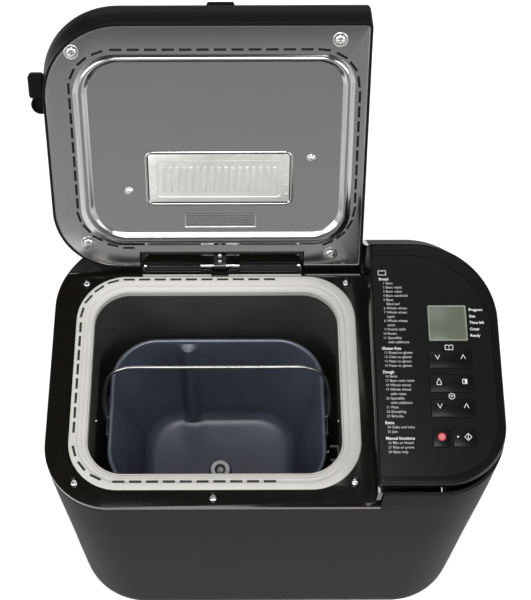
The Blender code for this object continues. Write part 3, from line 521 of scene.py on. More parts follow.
# ---- housing ----
BODY_WALL = 0.0026
BACK_WALL_Y = 0.1700
# height, half width, front, rear, front corner radius, rear corner radius
BODY_LEVELS = (
    (0.0040, 0.1998, -0.1300, 0.1670, 0.070, 0.060), (0.0080, 0.2008, -0.1312, 0.1685, 0.070, 0.060),
    (0.1400, 0.2024, -0.1278, BACK_WALL_Y, 0.066, 0.060),
    (0.2300, 0.2036, -0.1252, BACK_WALL_Y, 0.062, 0.062), (0.2560, 0.2039, -0.1242, 0.1672, 0.061, 0.064),
    (0.2760, 0.2040, -0.1236, 0.1590, 0.060, 0.068), (0.2940, 0.2040, -0.1230, 0.1470, 0.060, 0.071),
    (0.3150, 0.2038, -0.1212, 0.1310, 0.057, 0.074), (0.3340, 0.2036, -0.1196, 0.1190, 0.055, 0.075),
    (0.3480, 0.2034, -0.1185, 0.1110, 0.054, 0.075), (0.3800, 0.2030, -0.1160, 0.1000, 0.054, 0.075),
)


def body_at(z):
    """The housing's half width, front, rear and corner radii at a height, smoothly between its levels."""
    rows = BODY_LEVELS
    k = 0
    while k < len(rows) - 2 and rows[k + 1][0] < z:
        k += 1
    a, b = rows[k], rows[k + 1]
    before, after = rows[max(k - 1, 0)], rows[min(k + 2, len(rows) - 1)]
    t = min(max((z - a[0]) / (b[0] - a[0]), 0.0), 1.0)
    span = b[0] - a[0]
    out = []
    for i in range(1, 6):
        m0 = (b[i] - before[i]) / (b[0] - before[0]) if k else (b[i] - a[i]) / span
        m1 = (after[i] - a[i]) / (after[0] - a[0]) if k + 2 < len(rows) else (b[i] - a[i]) / span
        out.append(
            (2 * t ** 3 - 3 * t ** 2 + 1) * a[i] + (t ** 3 - 2 * t ** 2 + t) * span * m0
            + (-2 * t ** 3 + 3 * t ** 2) * b[i] + (t ** 3 - t ** 2) * span * m1
        )
    return out


def body_rings(heights, inset=0.0, steps=24):
    rings = []
    for z in heights:
        half, front, rear, front_r, rear_r = body_at(z)
        if 0.1399 < z < 0.2301:
            rear = min(rear, BACK_WALL_Y)
        outline = rounded(
            -half + inset, half - inset, front + inset, rear - inset,
            (rear_r, rear_r, front_r, front_r), steps,
        )
        rings.append([(x, y, z) for x, y in outline])
    return rings


def heights(low, high, step):
    count = max(1, round((high - low) / step))
    return [low + (high - low) * i / count for i in range(count + 1)]


BODY_HEIGHTS = (
    [0.004, 0.0052, 0.0066, 0.008] + heights(0.02, 0.22, 0.02) + heights(0.226, 0.38, 0.006)
)


def deck_line(drop):
    """The deck's section along y, a distance below its surface, with the bend down to the ledge."""
    near, far = -0.20, 0.20
    fall = (far - LEDGE_Y) * math.tan(LEDGE_SLOPE)
    bend = [
        (LEDGE_Y - 0.005, DECK_Z - drop), (LEDGE_Y - 0.0017, DECK_Z - drop - 0.0002),
        (LEDGE_Y + 0.0017, DECK_Z - drop - 0.0014), (LEDGE_Y + 0.005, DECK_Z - drop - 0.0033),
    ]
    return [(near, DECK_Z - drop)] + bend + [(far, DECK_Z - drop - fall)]


def make_body():
    shell = solid(loft(body_rings(BODY_HEIGHTS), False, False), BODY_WALL, -1)
    above = deck_line(0.0052) + [(0.20, 0.42), (-0.20, 0.42)]
    boolean(shell, prism_x(above, -0.3, TOWER_X + TOWER_WALL + 0.0003))
    above = [(y, panel_height(y) - BEZEL_DROP) for y in (-0.2, 0.2)] + [(0.2, 0.45), (-0.2, 0.45)]
    boolean(shell, prism_x(above, 0.0, 0.3))
    boolean(shell, box((-0.1503, 0.15, 0.0347), (-0.1117, 0.19, 0.0653)))
    place(bevelled(shell, 0.0006, 2, 40), "body_shell_skin", "housing", BODY, replaces=["body_shell"])


def dash_boxes(spots, length, width, low, high):
    """Boxes for a row of slots, each at (x, y, heading in degrees)."""
    bm = bmesh.new()
    for x, y, heading in spots:
        turn = Matrix.Translation((x, y, (low + high) / 2)) @ Matrix.Rotation(math.radians(heading), 4, "Z")
        bmesh.ops.create_cube(bm, size=1.0, matrix=turn @ Matrix.Diagonal((length, width, high - low, 1.0)))
    return from_bmesh("slots", bm)


def make_deck():
    """Deck with a rounded outer edge, its ledge, the screw pockets and the tower's inner wall."""
    right = TOWER_X + TOWER_WALL
    deck = prism_x(deck_line(0.0) + deck_line(0.0046)[::-1], -0.21, right)
    front = -0.1190
    wall = [
        (front, DECK_Z - 0.003), (0.106, DECK_Z - 0.003), (0.17, DECK_Z - 0.036),
        (0.17, panel_height(0.17) - BEZEL_DROP), (front, panel_height(front) - BEZEL_DROP),
    ]
    join(deck, prism_x(wall, TOWER_X, right))
    boolean(deck, loft(body_rings(heights(0.23, 0.38, 0.006))), "INTERSECT")
    boolean(deck, slab(centred(grown(CHAMBER, 0.0035), 0.039), 0.27, 0.31))
    bevelled(deck, 0.0019, 4, 50)
    for x, y in DECK_SCREWS:
        boolean(deck, cylinder((x, y, DECK_Z + 0.0018), 0.0050, 0.0080, sides=32))
    place(deck, "top_deck_skin", "housing", GLOSS, replaces=["top_deck"], sharp=28)
    # dark strip in the gap between the deck and the housing: painted shade in the seam
    trim = hoop(
        [
            ([(x, y) for x, y, _ in body_rings([z], inset)[0]], z)
            for z, inset in (
                (DECK_Z - 0.0053, 0.0003), (DECK_Z - 0.0050, 0.0003), (DECK_Z - 0.0050, 0.0024),
                (DECK_Z - 0.0053, 0.0024)
            )
        ]
    )
    boolean(trim, box((-0.3, -0.3, 0.28), (TOWER_X + TOWER_WALL, 0.095, 0.30)), "INTERSECT")
    place(trim, "deck_seam_shade", "housing", SHADE_BLACK)


def screw(radius, height, washer=0.0):
    """A cross-head screw about the origin, head up, with a washer under it where asked."""
    dome = [
        (0.0, height), (radius * 0.45, height * 0.965), (radius * 0.78, height * 0.80),
        (radius * 0.95, height * 0.52), (radius, height * 0.22), (radius, -height * 0.25),
        (0.0, -height * 0.25)
    ]
    head = turned((0.0, 0.0, 0.0), dome, 40)
    arm, reach, deep = radius * 0.13, radius * 0.62, height * 0.35
    cross = box((-reach, -arm, deep), (reach, arm, height * 1.5))
    join(cross, box((-arm, -reach, deep), (arm, reach, height * 1.5)))
    boolean(head, cross)
    if washer:
        rim = [
            (radius * 0.9, 0.0007), (washer * 0.90, 0.0007), (washer, 0.0004), (washer, 0.0),
            (radius * 0.9, 0.0), (radius * 0.9, 0.0007),
        ]
        merged(head, turned((0.0, 0.0, 0.0), rim, 48))
    return head


def stamp(obj, where):
    """A copy of a mesh at a matrix."""
    copy = linked(obj.name, obj.data.copy())
    copy.data.transform(where)
    return copy


def make_deck_screws():
    pattern = screw(0.0033, 0.0022)
    for i, (x, y) in enumerate(DECK_SCREWS):
        turn = Matrix.Translation((x, y, DECK_Z - 0.0014)) @ Matrix.Rotation(0.4 + 0.9 * i, 4, "Z")
        place(
            stamp(pattern, turn), f"deck_screw_head_{i + 1}", "housing", CHROME,
            replaces=[f"deck_screw_{i + 1}"]
        )
    bpy.data.objects.remove(pattern, do_unlink=True)


def ring_slots():
    spots = [(-0.1349 + 0.0150 * i, 0.1040, 0.0) for i in range(10)]
    spots += [(-0.1360 + 0.01490 * i, -0.0996, 0.0) for i in range(10)]
    spots += [(-0.1785, 0.0529 - 0.0144 * i, 90.0) for i in range(8)]
    spots += [
        (-0.1499, 0.1017, 17.0), (-0.1630, 0.0939, 39.0), (-0.1727, 0.0828, 53.0), (-0.1779, 0.0686, 78.0)
    ]
    for angle in (196.0, 219.0, 243.0):
        a = math.radians(angle)
        spots.append((-0.1384 + 0.0401 * math.cos(a), -0.0596 + 0.0401 * math.sin(a), angle + 90))
    return spots


def make_ring():
    """Pale ring: a raised band with air slots, a step, a sloping ledge and a thin lip."""
    def at(by):
        return centred(grown(MOUTH, by), MOUTH_RADIUS + by, steps=28)

    top = DECK_Z + 0.0003
    outer = centred(RING, RING_RADIUS, steps=28)
    ring = hoop(
        (
            (outer, top), (outer, top + 0.0007),
            (centred(grown(RING, -0.0004), RING_RADIUS - 0.0004, steps=28), top + 0.0011),
            (centred(grown(RING, -0.0012), RING_RADIUS - 0.0012, steps=28), top + 0.0013),
            (at(0.0092), top + 0.0013), (at(0.0084), top + 0.0011), (at(0.0079), top + 0.0006),
            (at(0.0075), top + 0.0003), (at(0.0054), top - 0.0001), (at(0.0050), top + 0.0001),
            (at(0.0044), top + 0.0001), (at(0.0040), top - 0.0003), (at(0.0016), top - 0.0010),
            (at(0.0006), top - 0.0013), (at(0.0002), top - 0.0020), (at(0.0002), top - 0.0090),
            (at(0.0012), top - 0.0090), (at(0.0014), top - 0.0024), (at(0.0052), top - 0.0018),
            (at(0.0064), top - 0.0008), (at(0.0078), top - 0.0002), (at(0.0090), top),
        )
    )
    boolean(
        ring, dash_boxes(ring_slots(), SLOT_LENGTH, SLOT_WIDTH + 0.0001, top + 0.0006, top + 0.0030),
        solver="MANIFOLD"
    )
    place(ring, "chamber_ring_skin", "housing", RING_GREY, replaces=["chamber_ring"], sharp=24)
    # dark sheets at the foot of the air slots: painted shade in the slots
    floor = dash_boxes(ring_slots(), SLOT_LENGTH - 0.0001, SLOT_WIDTH, top + 0.0003, top + 0.0009)
    place(floor, "ring_slot_shade", "housing", SHADE_BLACK)
    lip = hoop((
        (at(0.0001), top - 0.0012), (at(-0.0006), top - 0.0012), (at(-0.0010), top - 0.0017),
        (at(-0.0010), top - 0.0085), (at(0.0), top - 0.0085),
    ))
    place(lip, "chamber_lip", "housing", RING_GREY, sharp=24)


def make_chamber():
    top = DECK_Z - 0.0028
    levels = []
    for by, radius, z in (
        (-0.012, 0.029, 0.0), (-0.008, 0.0315, 0.0003), (-0.004, 0.035, 0.002), (-0.0015, 0.0360, 0.005),
        (-0.0004, 0.0368, 0.009), (0.0, CHAMBER_RADIUS, 0.012),
    ):
        levels.append([(x, y, CHAMBER_FLOOR + z) for x, y in centred(grown(CHAMBER, by), radius)])
    for z in heights(CHAMBER_FLOOR + 0.03, top, 0.03):
        levels.append([(x, y, z) for x, y in centred(CHAMBER, CHAMBER_RADIUS)])
    can = solid(loft(levels, True, False), 0.0015, 1)
    boolean(can, cylinder((CHAMBER_X, PAN_Y, 0.04), 0.021, 0.02))
    for side in (-1, 1):
        boolean(can, cylinder((CHAMBER_X + CHAMBER[0], side * 0.016, 0.064), 0.0045, 0.02, "X"))
    place(can, "chamber_can", "housing", CHAMBER_PAINT, replaces=["chamber"], sharp=30)
    # pressed tab on the rear wall, small side screws and the sensor's bolt
    y = CHAMBER[1] - 0.0001
    tab = box((-0.0500, y - 0.0014, DECK_Z - 0.0135), (-0.0410, y, DECK_Z - 0.0128), 0.0002)
    for x in (-0.0500, -0.0417):
        merged(tab, box((x, y - 0.0014, DECK_Z - 0.0135), (x + 0.0007, y, DECK_Z - 0.0112), 0.0002))
    place(tab, "rear_wall_tab", "housing", BRIGHT_STEEL)
    small = screw(0.0019, 0.0011)
    for i, (side, py, z) in enumerate(((-1, -0.006, 0.208), (1, -0.006, 0.206))):
        x = CHAMBER_X + side * (CHAMBER[0] - 0.0001)
        turn = Matrix.Translation((x, py, z)) @ Matrix.Rotation(-side * math.pi / 2, 4, "Y")
        place(stamp(small, turn), f"chamber_screw_{i + 1}", "housing", BRIGHT_STEEL)
    bpy.data.objects.remove(small, do_unlink=True)
    x = CHAMBER_X + CHAMBER[0]
    bolt = cylinder((x - 0.0030, -0.0500, 0.2060), 0.0030, 0.0060, "X", 6)
    merged(bolt, cylinder((x - 0.0004, -0.0500, 0.2060), 0.0046, 0.0008, "X", 32))
    merged(bolt, cylinder((x - 0.0062, -0.0500, 0.2060), 0.0017, 0.0030, "X", 24))
    place(bevelled(bolt, 0.0003, 2), "sensor_bolt", "housing", BRIGHT_STEEL)


def pan_outline(half, radius, rib, steps=16):
    right, rear = CHAMBER_X + half[0] - radius, PAN_Y + half[1] - radius
    left, front = CHAMBER_X - half[0] + radius, PAN_Y - half[1] + radius
    points = arc((right, rear), radius, 0, 90, steps)
    for i in range(17):
        t = i / 16
        x = RIB_X + 0.0115 - 0.023 * t
        y = rear + math.sqrt(radius ** 2 - min(0.0, x - left) ** 2)
        points.append((x, y - rib * math.sin(math.pi * t) ** 1.4))
    start = math.degrees(math.acos(min(0.0, x - left) / radius))
    points += arc((left, rear), radius, start, 180, steps)[1:]
    points += arc((left, front), radius, 180, 270, steps)
    return points + arc((right, front), radius, 270, 360, steps)


def make_hinge_strips():
    """Pale strips along the foot of the hinge's plate, either side of its arm."""
    for name, low, high in (("left", -0.1215, -0.0560), ("right", -0.0390, 0.0305)):
        strip = box((low, 0.10730, DECK_Z + 0.0005), (high, 0.10775, DECK_Z + 0.0046), 0.0002)
        place(strip, f"hinge_strip_{name}", "housing", RING_GREY)


def make_pan():
    rise = PAN_RIM_Z - PAN_FLOOR_Z
    rows = [
        (0.0, -0.014, 0.0, 0.0290, 0.0), (0.0, -0.0095, 0.0001, 0.0325, 0.0),
        (0.0, -0.0060, 0.0009, 0.0355, 0.002), (0.0, -0.0030, 0.0030, 0.0380, 0.0055),
        (0.02, -0.0012, 0.0062, 0.0395, 0.0068)
    ]
    for i in range(1, 19):
        t = i / 19
        rows.append((t, 0.0, t * rise, 0.040 + 0.003 * t, 0.0070))
    rows += [
        (0.952, 0.0, 0.952 * rise, 0.0430, 0.0058), (0.962, 0.0, 0.962 * rise, 0.0430, 0.0022),
        (0.968, 0.0, 0.968 * rise, 0.0430, 0.0), (0.995, 0.0, rise - 0.0012, 0.0430, 0.0),
        (1.0, 0.0003, rise - 0.0007, 0.0432, 0.0), (1.0, 0.0010, rise - 0.0003, 0.0438, 0.0),
        (1.0, 0.0026, rise - 0.0002, 0.0454, 0.0), (1.0, 0.0034, rise - 0.0005, 0.0462, 0.0),
        (1.0, 0.0038, rise - 0.0012, 0.0466, 0.0), (1.0, 0.0038, rise - 0.0026, 0.0466, 0.0)
    ]
    rings = []
    for along, by, z, radius, rib in rows:
        half = [b + (r - b) * min(along, 1.0) + by for r, b in zip(PAN_RIM, PAN_BASE)]
        rings.append([(x, y, PAN_FLOOR_Z + z) for x, y in pan_outline(half, radius, rib)])
    pan = solid(loft(rings, True, False), 0.0013, 1)
    boolean(pan, cylinder((CHAMBER_X, PAN_Y, 0.053), 0.0073, 0.02))
    outer, inner = (arc((CHAMBER_X, PAN_Y), radius, 0, 357, 119) for radius in (0.0365, 0.0345))
    merged(pan, hoop(((outer, 0.0430), (outer, 0.0532), (inner, 0.0532), (inner, 0.0430))))
    place(pan, "pan_skin", "pan_unit", COATING, replaces=["pan"], sharp=40)
    rim = hoop(
        [
            (pan_outline(grown(PAN_RIM, by), radius, 0.0), PAN_FLOOR_Z + z)
            for by, z, radius in (
                (0.0005, rise - 0.0002, 0.0434), (0.0016, rise + 0.00015, 0.0444),
                (0.0027, rise + 0.0001, 0.0455), (0.0035, rise - 0.0003, 0.0463),
                (0.0030, rise - 0.0003, 0.0458), (0.0016, rise - 0.0001, 0.0444),
            )
        ]
    )
    place(rim, "pan_rim_edge", "pan_unit", PAN_EDGE, sharp=50)
    for side, name in ((-1, "left"), (1, "right")):
        x = CHAMBER_X + side * 0.1067
        strap = box(
            (min(x, x + side * 0.0010), PAN_Y - 0.020, BAIL_Z - 0.0100),
            (max(x, x + side * 0.0010), PAN_Y + 0.020, BAIL_Z + 0.0048), 0.0003
        )
        for y in (-0.017, 0.017):
            foot = sorted((CHAMBER_X + side * 0.1036, x + side * 0.0002))
            merged(
                strap,
                box(
                    (foot[0], PAN_Y + y - 0.003, BAIL_Z - 0.0095),
                    (foot[1], PAN_Y + y + 0.003, BAIL_Z + 0.0030), 0.0003
                )
            )
            merged(strap, cylinder((x + side * 0.0012, PAN_Y + y, BAIL_Z - 0.003), 0.0018, 0.0010, "X", 20))
        merged(strap, cylinder((x + side * 0.0009, PAN_Y, BAIL_Z), 0.0040, 0.0012, "X", 28))
        place(strap, f"pan_strap_{name}", "pan_unit", COATING_PLAIN, replaces=[f"pan_bracket_{name}"])


def make_bail():
    half = [
        (0.1046, 0.0), (0.1082, 0.0), (0.1093, 0.0022), (0.1094, 0.010), (0.1088, 0.025), (0.1070, 0.040),
        (0.1050, 0.050), (0.1018, 0.060), (0.0960, 0.0675), (0.0880, 0.0720), (0.0780, 0.074),
        (0.0400, 0.074)
    ]
    path = [(-x, 0.0, z) for x, z in half] + [(x, 0.0, z) for x, z in half[::-1]]
    place(
        wire(smooth_path(path, 8), BAIL_RADIUS, 6), "bail_wire", "bail_unit", DULL_STEEL, BAIL, ["bail"],
        60
    )


def make_blade():
    hub = turned(
        (CHAMBER_X, PAN_Y, 0.0),
        [
            (0.0046, 0.0628), (0.0088, 0.0630), (0.0106, 0.0624), (0.0116, 0.0608), (0.0121, 0.0580),
            (0.0121, 0.0562), (0.0043, 0.0562), (0.0043, 0.0628), (0.0046, 0.0628)
        ],
        64
    )
    wing = [
        (-0.0100, 0.0568), (-0.047, 0.0568), (-0.0495, 0.0600), (-0.0497, 0.0640), (-0.0480, 0.0730),
        (-0.0455, 0.0775), (-0.0420, 0.0795), (-0.0270, 0.0795), (-0.0220, 0.0770), (-0.0140, 0.0650),
        (-0.0100, 0.0615)
    ]
    blade = bevelled(
        prism_x([(PAN_Y + y, z) for y, z in wing], CHAMBER_X - 0.0014, CHAMBER_X + 0.0014), 0.0008, 3
    )
    place(merged(hub, blade), "blade_skin", "blade", COATING_PLAIN, replaces=["kneading_blade"], sharp=40)
    seal = turned(
        (CHAMBER_X, PAN_Y, 0.0),
        [
            (0.0062, 0.0634), (0.0102, 0.0635), (0.0108, 0.0631), (0.0108, 0.0626), (0.0062, 0.0626),
            (0.0062, 0.0634)
        ],
        64
    )
    place(seal, "blade_seal_ring", "blade", DULL_STEEL)
    dress(BRIGHT_STEEL, "blade_shaft")


# ---- lid ----
def lid_outline(inset, rear, flare=0.0, steps=28):
    small = max(0.004 - inset * 0.4, 0.0015)
    left, front = LID_LEFT - flare * LID_FLARE[0], LID_FRONT - flare * LID_FLARE[1]
    return rounded(
        left + inset, LID_RIGHT - inset, front + inset, rear - inset,
        (small, 0.060 - inset, 0.072 - inset, small), steps,
    )


def make_lid_shell():
    foot = LINER_Z - 0.0012

    def skin(levels):
        return [
            [(x, y, max(panel_height(y) - drop, foot + 0.003)) for x, y in lid_outline(inset, rear, flare)]
            for inset, drop, rear, flare in levels
        ]

    outer = [[(x, y, foot + z) for x, y in lid_outline(inset, LID_REAR)]
             for inset, z in ((0.0010, 0.0), (0.0003, 0.0006), (0.0, 0.0016))]
    outer += skin((
        (0.0002, 0.040, 0.1172, 0.02), (0.0003, 0.030, 0.1148, 0.15), (0.0004, 0.020, 0.1120, 0.65),
        (0.0005, 0.010, 0.1092, 1.0), (0.0006, 0.0042, 0.1085, 1.0), (0.0010, 0.0026, 0.1080, 1.0),
        (0.0018, 0.0012, 0.1075, 1.0), (0.0029, 0.0003, 0.1072, 1.0), (0.0042, 0.0, 0.1070, 1.0),
    ))
    inner = [[(x, y, foot + z) for x, y in lid_outline(0.0026, LID_REAR)] for z in (-0.01, 0.0025)]
    inner += skin((
        (0.0028, 0.030, 0.1148, 0.15), (0.0030, 0.010, 0.1092, 1.0), (0.0038, 0.0050, 0.1080, 1.0),
        (0.0060, 0.0026, 0.1072, 1.0),
    ))
    shell = boolean(loft(outer), loft(inner))
    boolean(shell, box((NOTCH[0], NOTCH_Y, 0.28), (NOTCH[1], 0.15, LINER_Z + 0.0100)))
    left, right, front, rear = FLAP
    boolean(shell, box((left, front + 0.002, 0.33), (right, rear - 0.002, 0.40)))
    place(shell, "lid_shell_skin", "lid", GLOSS_SOFT, LID, ["lid_shell"], 30)


def liner_y(along):
    """Height in the closed lid's plane of a distance from the hinge."""
    return 0.11615 - along


def liner_slots():
    spots = [(-0.1367 + 0.01533 * i, liner_y(0.2163), 0.0) for i in range(12)]
    spots += [
        (0.0473, liner_y(0.2158), 6.0), (0.0628, liner_y(0.2104), 30.0), (0.0734, liner_y(0.2002), 53.0)
    ]
    spots += [(0.0786, liner_y(0.1858), 82.0)]
    spots += [
        (-0.1533, liner_y(0.2135), -20.0), (-0.1673, liner_y(0.2057), -40.0),
        (-0.1767, liner_y(0.1940), -64.0)
    ]
    spots += [(-0.1805, liner_y(0.1801 - 0.0143 * i), 90.0) for i in range(9)]
    spots += [
        (-0.1800, liner_y(0.0515), 74.0), (-0.1735, liner_y(0.0388), 52.0),
        (-0.1638, liner_y(0.0286), 31.0)
    ]
    spots += [(-0.1497, liner_y(0.0210), 15.0), (-0.1346, liner_y(0.0180), 0.0)]
    spots += [(0.0800, liner_y(0.1714 - 0.0144 * i), 90.0) for i in range(8)]
    spots += [
        (0.0795, liner_y(0.0560), -80.0), (0.0760, liner_y(0.0425), -62.0),
        (0.0680, liner_y(0.0310), -43.0)
    ]
    spots += [(0.0560, liner_y(0.0228), -25.0)]
    return spots


RIDGE_OUTER = ((-0.1776, 0.0757, -0.0959, 0.0955), (0.034, 0.040, 0.040, 0.030))
RIDGE_INNER = ((-0.1646, 0.0647, -0.0887, 0.0814), (0.026, 0.030, 0.030, 0.022))


def ridge_loop(along):
    """Loop across the ridge: 0 at its outer foot, 1 at its inner foot."""
    edges, radii = (
        [o + (i - o) * along for o, i in zip(outer, inner)] for outer, inner in zip(RIDGE_OUTER, RIDGE_INNER)
    )
    return rounded(*edges, radii, 28)


def make_liner():
    """Polished inner plate with a rolled ridge, slots, the dispenser's pressed frame and its openings."""
    outline = rounded(
        LID_LEFT + LINER_INSET, LID_RIGHT - LINER_INSET, LID_FRONT + LINER_INSET, LID_REAR - LINER_INSET,
        (0.001, 0.057, 0.069, 0.001), 28,
    )
    plate = bevelled(slab(outline, LINER_Z, LINER_Z + 0.001), 0.0004, 3)
    left, right, front, rear = FLAP
    boolean(plate, box((NOTCH[0], NOTCH_Y, 0.28), (NOTCH[1], 0.15, 0.31)))
    boolean(plate, box((left - 0.0012, front - 0.0012, 0.28), (right + 0.0012, rear + 0.0012, 0.31)))
    boolean(plate, box((VENT[0], VENT[2], 0.28), (VENT[1], VENT[3], 0.31)))
    boolean(plate, dash_boxes(liner_slots(), SLOT_LENGTH, SLOT_WIDTH, 0.29, 0.31), solver="MANIFOLD")
    bead = []
    for k in range(13):
        t = -1.0 + k / 6.0
        bead.append((ridge_loop((1.0 + t) / 2), LINER_Z - 0.0030 * math.cos(math.pi * t / 2) ** 1.25))
    bead.append((ridge_loop(1.0), LINER_Z + 0.0004))
    bead.append((ridge_loop(0.0), LINER_Z + 0.0004))
    merged(plate, hoop(bead))
    frame_loop = [
        (rounded(left - by, right + by, front - by, rear + by, (0.004 + by,) * 4, 8), LINER_Z + dz)
        for by, dz in (
            (0.0008, 0.0004), (0.0010, -0.0007), (0.0016, -0.0011), (0.0024, -0.0011), (0.0031, -0.0006),
            (0.0036, 0.0004)
        )
    ]
    merged(plate, hoop(frame_loop))
    place(plate, "lid_liner_plate", "lid", LINER_STEEL, LID, ["lid_liner"], 40)
    # dark sheet behind the liner's slots: painted shade seen through them
    back = slab(
        rounded(-0.1905, 0.0855, LID_FRONT + 0.006, LID_REAR - 0.020, (0.004, 0.05, 0.06, 0.004), 12),
        LINER_Z + 0.0030, LINER_Z + 0.0034
    )
    boolean(back, box((left - 0.0035, front - 0.0035, 0.28), (right + 0.0035, rear + 0.0035, 0.31)))
    boolean(back, box((-0.0820, 0.0610, 0.28), (-0.0110, 0.0780, 0.31)))
    place(back, "liner_slot_shade", "lid", SHADE_BLACK, LID)
    # bright folded edge of the plate
    edge = hoop(
        [
            (
                rounded(
                    LID_LEFT + i, LID_RIGHT - i, LID_FRONT + i, LID_REAR - i,
                    (0.0012, 0.0598 - i, 0.0718 - i, 0.0012), 28
                ),
                LINER_Z + z
            )
            for i, z in ((0.0024, -0.0004), (0.0031, -0.0004), (0.0034, 0.0), (0.0024, 0.0))
        ]
    )
    boolean(edge, box((NOTCH[0], NOTCH_Y, 0.28), (NOTCH[1], 0.15, 0.31)))
    place(edge, "liner_edge", "lid", CHROME, LID, sharp=40)


def make_flap():
    left, right, front, rear = FLAP
    z = LINER_Z - 0.0002
    plate = box((left, front, z), (right, rear - 0.0004, LINER_Z + 0.0010), 0.0004)
    margin_x, low, high = 0.0085, front + 0.0075, rear - 0.0060
    frame_line = [
        (
            rounded(
                left + margin_x - by, right - margin_x + by, low - by, high + by, (0.003 + by,) * 4, 8
            ),
            z + dz
        )
        for by, dz in ((0.0, 0.0002), (0.0003, -0.0006), (0.0011, -0.0006), (0.0014, 0.0002))
    ]
    merged(plate, hoop(frame_line))
    count = 17
    pitch = (right - left - 2 * margin_x - 0.010) / (count - 1)
    for i in range(count):
        x = left + margin_x + 0.005 + pitch * i
        rib = loft(
            [
                [
                    (px, py, z - lift)
                    for px, py in rounded(
                        x - w, x + w, low + 0.004 + in_, high - 0.0045 - in_, (w * 0.95,) * 4, 5
                    )
                ]
                for w, in_, lift in (
                    (0.0008, 0.0013, 0.0019), (0.0013, 0.0006, 0.0014), (0.0017, 0.0, -0.0002)
                )
            ]
        )
        merged(plate, rib)
    for x0, x1 in ((left + 0.0012, left + 0.0052), (right - 0.0052, right - 0.0012)):
        for k in range(4):
            y = low + 0.004 + 0.0095 * k
            merged(plate, box((x0, y, z - 0.0004), (x1, y + 0.0010, z + 0.0002)))
    place(plate, "flap_skin", "flap", ALUMINIUM, LID, ["dispenser_flap"], 35)


def make_vent():
    x0, x1, y0, y1 = -0.0798, -0.0132, 0.0632, 0.0753
    plate = box((-0.0815, 0.0615, LINER_Z + 0.0012), (-0.0115, 0.0770, LINER_Z + 0.0019))
    bm = bmesh.new()
    columns, rows = 30, 6
    for c in range(columns):
        for r in range(rows):
            if c == columns - 1 and r % 2:
                continue
            x = x0 + 0.0014 + (x1 - x0 - 0.0028) * (c + 0.5 * (r % 2)) / (columns - 1)
            y = y0 + 0.0012 + (y1 - y0 - 0.0024) * r / (rows - 1)
            bmesh.ops.create_cone(
                bm, cap_ends=True, segments=8, radius1=0.00085, radius2=0.00085, depth=0.004,
                matrix=Matrix.Translation((x, y, LINER_Z + 0.0015)),
            )
    boolean(plate, from_bmesh("holes", bm), solver="MANIFOLD")
    rim = hoop([
        (rounded(-0.0805 - by, -0.0125 + by, 0.0625 - by, 0.0760 + by, (0.0008 + by,) * 4, 4), LINER_Z + dz)
        for by, dz in ((-0.0002, 0.0012), (0.0, -0.0004), (0.0010, -0.0004), (0.0013, 0.0003))
    ])
    place(plate, "vent_plate", "lid", BRIGHT_STEEL, LID, ["vent_grille"])
    place(rim, "vent_frame", "lid", LINER_STEEL, LID)
    # dark sheet behind the vent's holes: painted shade seen through them
    back = box((-0.0812, 0.0618, LINER_Z + 0.0021), (-0.0118, 0.0767, LINER_Z + 0.0024))
    place(back, "vent_shade_sheet", "lid", SHADE_BLACK, LID)


def make_lid_screws():
    big = screw(0.0044, 0.0021, 0.0066)
    little = screw(0.0030, 0.0018, 0.0042)
    flip = Matrix.Rotation(math.pi, 4, "X")
    for i, (x, y) in enumerate(LID_SCREWS):
        turn = Matrix.Translation((x, y, LINER_Z - 0.0001)) @ flip @ Matrix.Rotation(0.5 + 1.1 * i, 4, "Z")
        place(stamp(big, turn), f"lid_screw_head_{i + 1}", "lid", CHROME, LID, [f"lid_screw_{i + 1}"])
    for i, (x, along) in enumerate(((-0.1315, 0.0781), (0.0379, 0.1111))):
        turn = Matrix.Translation(
            (x, liner_y(along), LINER_Z - 0.0001)
        ) @ flip @ Matrix.Rotation(0.8 * i, 4, "Z")
        place(stamp(little, turn), f"liner_screw_{i + 1}", "lid", CHROME, LID)
    tiny = screw(0.0021, 0.0014)
    for i, (y, z) in enumerate(((0.1068, LINER_Z + 0.0004), (0.1132, LINER_Z + 0.0004))):
        turn = Matrix.Translation((-0.0475, y, z - 0.0010)) @ flip
        place(stamp(tiny, turn), f"hinge_screw_{i + 1}", "lid", CHROME, LID)
    for obj in (big, little, tiny):
        bpy.data.objects.remove(obj, do_unlink=True)


def make_grip():
    """Lug on the lid's left edge with a round collar beside it, its hollow closed half way."""
    top = panel_height(-0.035) - 0.004
    x1 = LID_LEFT - LID_FLARE[0] - 0.0003
    middle = (x1 - 0.0035, -0.0370, top - 0.006)
    grip = box((-0.2220, -0.0660, top - 0.012), (x1 + 0.0006, -0.0425, top), 0.0036, 6)
    collar = turned(
        middle,
        [
            (0.0, 0.0020), (0.0068, 0.0020), (0.0070, 0.0058), (0.0076, 0.0062), (0.0084, 0.0060),
            (0.0090, 0.0052), (0.0090, -0.0052), (0.0084, -0.0060), (0.0076, -0.0062), (0.0070, -0.0058),
            (0.0068, -0.0020), (0.0, -0.0020)
        ],
        56
    )
    boolean(collar, box((x1, -0.08, 0.28), (x1 + 0.03, 0.0, 0.38)))
    boolean(grip, cylinder(middle, 0.0086, 0.03, sides=56))
    boolean(grip, box((x1, -0.08, 0.28), (x1 + 0.03, 0.0, 0.38)))
    place(grip, "side_grip_skin", "lid", GLOSS_SOFT, LID, ["side_grip"], 30)
    place(collar, "side_grip_collar", "lid", GLOSS_SOFT, LID, sharp=30)


# ---- control tower's top ----
PANEL_RADII = (0.0745, 0.0020, 0.0020, 0.0535)


def panel_outline(edges, by, steps=32):
    left, right, front, rear = edges
    radii = [max(r + by, 0.0012) for r in PANEL_RADII]
    return rounded(left - by, right + by, front - by, rear + by, radii, steps)


